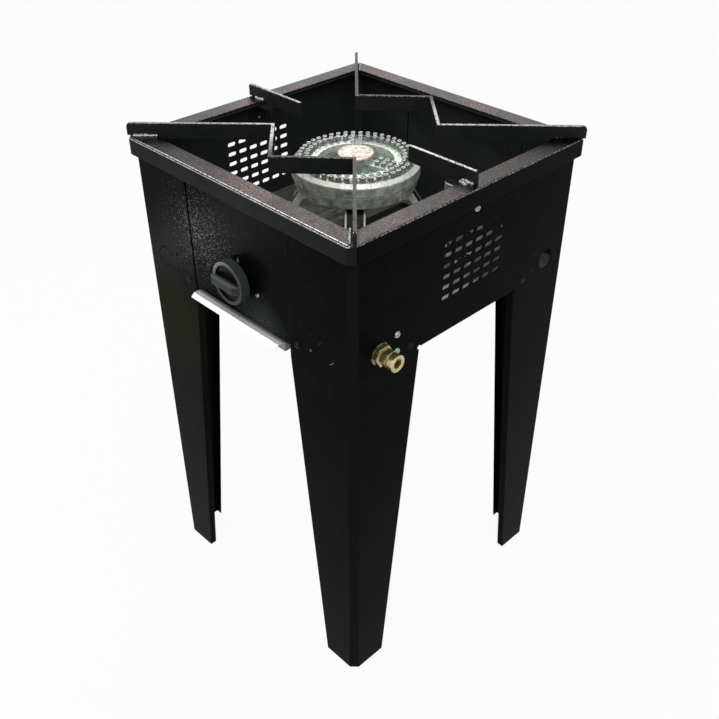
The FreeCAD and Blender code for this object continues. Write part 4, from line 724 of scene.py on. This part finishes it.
def mark_knob(plastic):
    """Paint shade into the recess, highlights on the ring and its two edges, and highlight lines on the grip.
    """
    tree = plastic.node_tree
    spot = place_of(tree)
    forward = product(tree, spot["Y"], -1.0)
    # Painted shade in the recess.
    recess = between(tree, forward, *knob_recess, 0.1)
    from_recess = away_from(tree, recess_middle)
    within = ramp(tree, from_recess, recess_radius, recess_radius + 0.4, 1, 0)
    recolor(plastic, product(tree, recess, within), painted_recess_shade)

    # Painted highlights on the ring, brightest at its upper left, and on its two edges.
    ring_face = between(tree, forward, *ring_depths, 0.4)
    from_middle = away_from(tree, ring_middle)
    on_ring = ramp(tree, from_middle, ring_radius, ring_radius + 1)
    lit = ramp(tree, away_from(tree, light_side), *light_reach, 1, 0.10)
    recolor(plastic, product(tree, ring_face, on_ring, lit), painted_ring_highlight)
    for low, high in ring_edges:
        ring_edge = between(tree, from_middle, low, high, 0.2)
        recolor(plastic, product(tree, ring_face, ring_edge, lit), painted_ring_edge_highlight)

    # Painted highlight lines along the grip's long edges.
    on_grip = ramp(tree, forward, grip_start, grip_start + 1)
    for low in grip_lines:
        grip_edge = between(tree, spot["Z"], low, low + 1, 0.2)
        recolor(plastic, product(tree, grip_edge, on_grip), painted_grip_highlight)


mark_knob(knob_plastic)
print("finishes:", len(bpy.data.materials))

# %% [markdown]
# ## Finishes on the CAD parts
# The record names a slot for each node, so one loop dresses every part. Three parts have a finish of their
# own: the drip tray's handle is brighter than the floor, partly painted light, the stand is dull with painted
# highlights on its bends, and the right support's strap is light grey below the bar, partly bare metal and
# partly painted light.

# %% Dress the CAD nodes
finishes = {
    "box_paint": box_paint, "rim_paint": rim_paint, "bar_paint": bar_paint, "cast_alloy": cast_alloy,
    "cap_metal": cap_metal, "galvanised": galvanised, "tube_metal": tube_metal,
    "valve_metal": valve_metal, "brass": brass, "knob_plastic": knob_plastic, "screw_zinc": screw_zinc,
}
own_finish = {"drip_tray": tray_zinc_and_painted_light, "burner_stand": stand_steel, "pot_support_right": strap_paint}
dressed = 0
for part in frame["record"]["subparts"]:
    node = part["node"]
    for place in frame["nodes"][node].material_slots:
        place.material = own_finish.get(node, finishes[part["material_slot"]])
        dressed += 1
print("dressed slots:", dressed)

# %% [markdown]
# ## A turned shape
# Jet tips, screws and beads are all turned: a line of points, each a radius and a height, goes round an
# axis. Writing the rings by hand with bmesh keeps the faces even and lets one mesh hold many copies.

# %% Turn a profile
def turn(mesh, profile, sides, frame_at, close_top=True, close_bottom=False, shape=None):
    """Turn (radius, height) points in millimetres round Z, and place them by a matrix."""
    rings = []
    for radius, height in profile:
        ring = []
        for step in range(sides):
            angle = 2 * math.pi * step / sides
            point = Vector((radius * mm * math.cos(angle), radius * mm * math.sin(angle), height * mm))
            if shape:
                point = shape(point)
            ring.append(mesh.verts.new(frame_at @ point))
        rings.append(ring)
    for low, high in zip(rings, rings[1:]):
        for step in range(sides):
            nxt = (step + 1) % sides
            mesh.faces.new((low[step], low[nxt], high[nxt], high[step]))
    if close_top:
        mesh.faces.new(rings[-1])
    if close_bottom:
        mesh.faces.new(list(reversed(rings[0])))


print("turning ready")

# %% [markdown]
# ## A piece of the scene
# A piece is one mesh with one material. It rides on a body of the imported model, so that it moves with the
# joints, and it may stand for a plainer CAD node, which is then hidden.

# %% Make a piece
def make_piece(name, mesh, material, body="stove", smooth=True, replaces=()):
    """Turn a bmesh into an object that rides on a body."""
    data = bpy.data.meshes.new(name)
    bmesh.ops.recalc_face_normals(mesh, faces=mesh.faces)
    mesh.to_mesh(data)
    mesh.free()
    data.materials.append(material)
    if smooth:
        data.shade_smooth()
    piece = bpy.data.objects.new(name, data)
    bpy.context.scene.collection.objects.link(piece)
    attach(piece, body)
    if replaces:
        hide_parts(*replaces)
    return piece


def crease(piece, degrees):
    """Keep edges sharper than an angle, and smooth the rest."""
    sharp = math.radians(degrees)
    data = bmesh.new()
    data.from_mesh(piece.data)
    for edge in data.edges:
        if len(edge.link_faces) == 2 and edge.calc_face_angle(0) > sharp:
            edge.smooth = False
    data.to_mesh(piece.data)
    data.free()


print("pieces ready")

# %% [markdown]
# ## Jets
# Gas leaves the burner through small bored studs. The CAD model has the studs, and here each gets a
# bright turned lip round a disc of painted shade that stands for the dark bore. They stand on the circles of
# the CAD model: 45 outside, 39 inside, and three pairs on each spoke.

# %% Place the jets
jet_rows = ((69.8, 45), (61.0, 39))
spoke_azimuth = 14.7
spoke_radii = (33, 42.2, 51.4)
spoke_side = 5
jets = []
for row_radius, count in jet_rows:
    for step in range(count):
        angle = math.radians(spoke_azimuth + 360 / count * (step + 0.5))
        jets.append((row_radius * math.cos(angle), row_radius * math.sin(angle)))
for spoke in range(3):
    angle = math.radians(spoke_azimuth + 120 * spoke)
    for radius in spoke_radii:
        for side in (-spoke_side, spoke_side):
            x = radius * math.cos(angle) - side * math.sin(angle)
            y = radius * math.sin(angle) + side * math.cos(angle)
            jets.append((x, y))
print("jets:", len(jets))

# %% Jet lips and painted bore shade
jet_top = 658.7
lip_profile = [(2.9, -0.5), (3.0, 0.1), (2.85, 0.5), (2.5, 0.65), (2.1, 0.6), (1.85, 0.35), (1.8, 0.1)]
bore_profile = [(1.8, 0.15), (0.7, 0.08)]
lips = bmesh.new()
bores = bmesh.new()
for x, y in jets:
    at = Matrix.Translation(Vector((x, y, jet_top)) * mm)
    turn(lips, lip_profile, 16, at, close_top=False)
    turn(bores, bore_profile, 12, at)
jet_metal = finish("jet_metal", (0.62, 0.64, 0.61), (0.82, 0.84, 0.81), (0.92, 0.94, 0.92),
                   (0.18, 0.3), [(0.8, 0.02)], metal=0.6, patch=6, edge=0.2)
# Painted shade: a dark disc a little below each lip stands for the depth of the bore.
jet_bore_shade = finish("jet_bore_shade", (0.006, 0.006, 0.006), (0.015, 0.014, 0.013), (0.02, 0.02, 0.02),
                   (0.6, 0.8), [(0.5, 0.02)], gloss=0.1, patch=3, edge=0.2)
make_piece("jet_lips", lips, jet_metal)
make_piece("jet_bores", bores, jet_bore_shade)

# %% [markdown]
# ## Screws
# A pan head has a flat washer face, a soft dome and a cross recess. The recess is pressed into the turned
# head: points inside a cross are lowered, most in the middle. The shank below has rings for its thread.

# %% Shape a screw
recess_half_width = 0.75 * mm
recess_reach = 2.7 * mm
recess_depth = 1.5 * mm
dome_foot = 1.2 * mm
thread_pitch = 1.2
dome_radii = (2.7, 2.3, 1.9, 1.6, 1.3, 1.0, 0.75, 0.5, 0.25, 0.1)


def cross_recess(point):
    """Lower the points of a head's top that lie in the cross."""
    if point.z < dome_foot:
        return point
    x, y = abs(point.x), abs(point.y)
    narrow, wide = min(x, y), max(x, y)
    if narrow < recess_half_width and wide < recess_reach:
        point.z -= recess_depth * (1 - 0.4 * wide / recess_reach)
    return point


def screw_profile(length):
    """Shank with thread rings, then the head from its washer face to its top."""
    points = [(0.6, -length), (1.6, -length + 0.8)]
    for ring in range(int((length - 1.4) / thread_pitch)):
        base = -length + 1.0 + thread_pitch * ring
        points.extend([(1.55, base), (2.0, base + 0.45), (2.0, base + 0.6), (1.55, base + 1.05)])
    points.extend([(1.6, 0), (4.2, 0), (4.25, 0.35), (4.0, 0.6), (3.6, 0.75), (3.5, 1.3), (3.2, 1.9)])
    points.extend([(radius, 2.4 - 0.045 * radius * radius) for radius in dome_radii])
    return points


print("points in the profile of a screw of 6 mm:", len(screw_profile(6)))

# %% [markdown]
# ## Where the screws sit
# Each screw has a point and a way to face. The floor pan's screws go through all four walls, the inlet's
# bracket and the side supports are screwed to the side panels, the stand to the floor, and one small screw
# holds the gas tap. Each is turned by its own angle, as a hand would leave it.

# %% Place the screws
box_face = 194.75
pan_across, pan_height = 104, 517.5
bracket_y, bracket_heights = -126, (543.6, 520.8)
support_height = 654.5
stand_foot, stand_height = 143 / math.sqrt(2), 512.8
valve_place = (35, -193.55, 553)
pan_sites = []
for side in (-1, 1):
    for end in (-1, 1):
        pan_sites.append(((end * pan_across, side * box_face, pan_height), (0, side, 0)))
        pan_sites.append(((side * box_face, end * pan_across, pan_height), (side, 0, 0)))
bracket_sites = [((box_face, bracket_y, z), (1, 0, 0)) for z in bracket_heights]
support_sites = [((x, 0, support_height), (x, 0, 0)) for x in (-box_face, box_face)]
stand_sites = [((x * stand_foot, y * stand_foot, stand_height), (0, 0, 1))
               for x, y in ((1, 1), (-1, 1), (-1, -1), (1, -1))]
valve_sites = [(valve_place, (0, -1, 0))]
print("the floor pan's screws:", len(pan_sites))

# %% Make the screws
def make_screws(name, length, sites, material, head=1.0):
    """Make one group of screws, each at a point and facing a way, in place of the CAD model's."""
    mesh = bmesh.new()
    for point, way in sites:
        spin = Matrix.Rotation(dice.uniform(0, math.pi / 2), 4, "Z")
        facing = Vector(way).to_track_quat("Z", "Y").to_matrix().to_4x4()
        at = Matrix.Translation(Vector(point) * mm) @ facing @ spin @ Matrix.Diagonal((head, head, 1, 1))
        turn(mesh, screw_profile(length), 32, at, close_bottom=True, shape=cross_recess)
    crease(make_piece(name, mesh, material, replaces=(name,)), 50)
    return len(sites)


screw_black = finish("screw_black", (0.003, 0.003, 0.003), (0.006, 0.006, 0.006), (0.45, 0.46, 0.46),
                     (0.12, 0.24), [(1.1, 0.03)], gloss=0.04, patch=4, edge=0.25)
screws = make_screws("panel_screws", 6, pan_sites, screw_black)
screws += make_screws("bracket_screws", 7, bracket_sites, screw_zinc)
screws += make_screws("support_screws", 8, support_sites, screw_zinc)
screws += make_screws("stand_screws", 6, stand_sites, screw_zinc)
screws += make_screws("valve_screw", 6, valve_sites, screw_zinc, head=0.6)
print("screws:", screws)

# %% [markdown]
# ## Weld beads
# The supports are welded where they lie on the rim. A weld bead is a row of overlapping drops, so each
# bead here is a chain of small squashed spheres. They lie less than a radius apart, and no two are quite
# the same size or in line.

# %% Weld the supports to the rim
drop_angles = (0.25, 0.7, 1.15, 1.57, 2.0, 2.45, 2.9)
bead_height = 682.6
flank = 2.2
side_start, side_end, side_drop = 174, 187, 2.9
corner_reaches, corner_drop = (172, 192), 1.9
tab_start, tab_end, tab_drop = (175, -7.5, 682.2), (183, -9.5, 682.2), 2.8


def weld_bead(mesh, start, end, radius):
    """Lay a bead of drops from start to end, in millimetres."""
    start, end = Vector(start) * mm, Vector(end) * mm
    drops = max(2, int((end - start).length / (0.6 * radius * mm)))
    along = (end - start).to_track_quat("Z", "Y").to_matrix().to_4x4()
    for step in range(drops + 1):
        size = radius * dice.uniform(0.75, 1.2)
        stray = [dice.uniform(-0.2, 0.2), dice.uniform(-0.2, 0.2), dice.uniform(-0.15, 0.1)]
        at = Matrix.Translation(start.lerp(end, step / drops) + Vector(stray) * radius * mm) @ along
        arc = [(size * math.sin(angle), -0.8 * size * math.cos(angle)) for angle in drop_angles]
        turn(mesh, arc, 12, at, close_bottom=True)


weld_steel = finish("weld_steel", (0.16, 0.16, 0.155), (0.42, 0.42, 0.41), (0.7, 0.7, 0.69),
                    (0.18, 0.34), [(1.5, 0.12)], metal=0.85, patch=3, edge=0.5)
beads = bmesh.new()
for side in (-1, 1):
    for across in (-flank - 1, flank + 1):
        start, end = (side * side_start, across, bead_height), (side * side_end, across * 1.15, 682.4)
        weld_bead(beads, start, end, side_drop)
weld_bead(beads, tab_start, tab_end, tab_drop)
for x_side, y_side in ((-1, -1), (1, 1), (1, -1), (-1, 1)):
    for across in (-flank, flank):
        x_off, y_off = across * x_side * y_side / math.sqrt(2), across / math.sqrt(2)
        start, end = [(x_side * reach + x_off, y_side * reach - y_off, bead_height)
                      for reach in corner_reaches]
        weld_bead(beads, start, end, corner_drop)
make_piece("weld_beads", beads, weld_steel)
print("beads laid")

# %% [markdown]
# ## Pointer mark
# Above the knob a small triangle shows where the gas is off. It is printed on the panel, so it is a thin
# plate, a tenth of a millimetre proud of the paint.

# %% Print the pointer
panel_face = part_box("front_panel")[0].y
print_thickness = 0.1 * mm
mark_corners = [(-1.2, 584.2), (4.4, 584.2), (1.6, 590.4)]
mark = bmesh.new()
back = [mark.verts.new((x * mm, panel_face, z * mm)) for x, z in mark_corners]
front = [mark.verts.new((x * mm, panel_face - print_thickness, z * mm)) for x, z in mark_corners]
mark.faces.new(front)
mark.faces.new(list(reversed(back)))
for step in range(3):
    nxt = (step + 1) % 3
    mark.faces.new((back[step], back[nxt], front[nxt], front[step]))
print_grey = finish("print_grey", (0.16, 0.16, 0.16), (0.26, 0.26, 0.26), (0.1, 0.1, 0.1),
                    (0.4, 0.6), [(0.8, 0.03)], patch=3, edge=0.2)
make_piece("pointer_mark", mark, print_grey, smooth=False)
print("pointer printed")

# %% [markdown]
# ## View transform
# The render shows its colours through the Standard view transform.

# %% Use the Standard view transform
bpy.context.scene.view_settings.view_transform = "Standard"
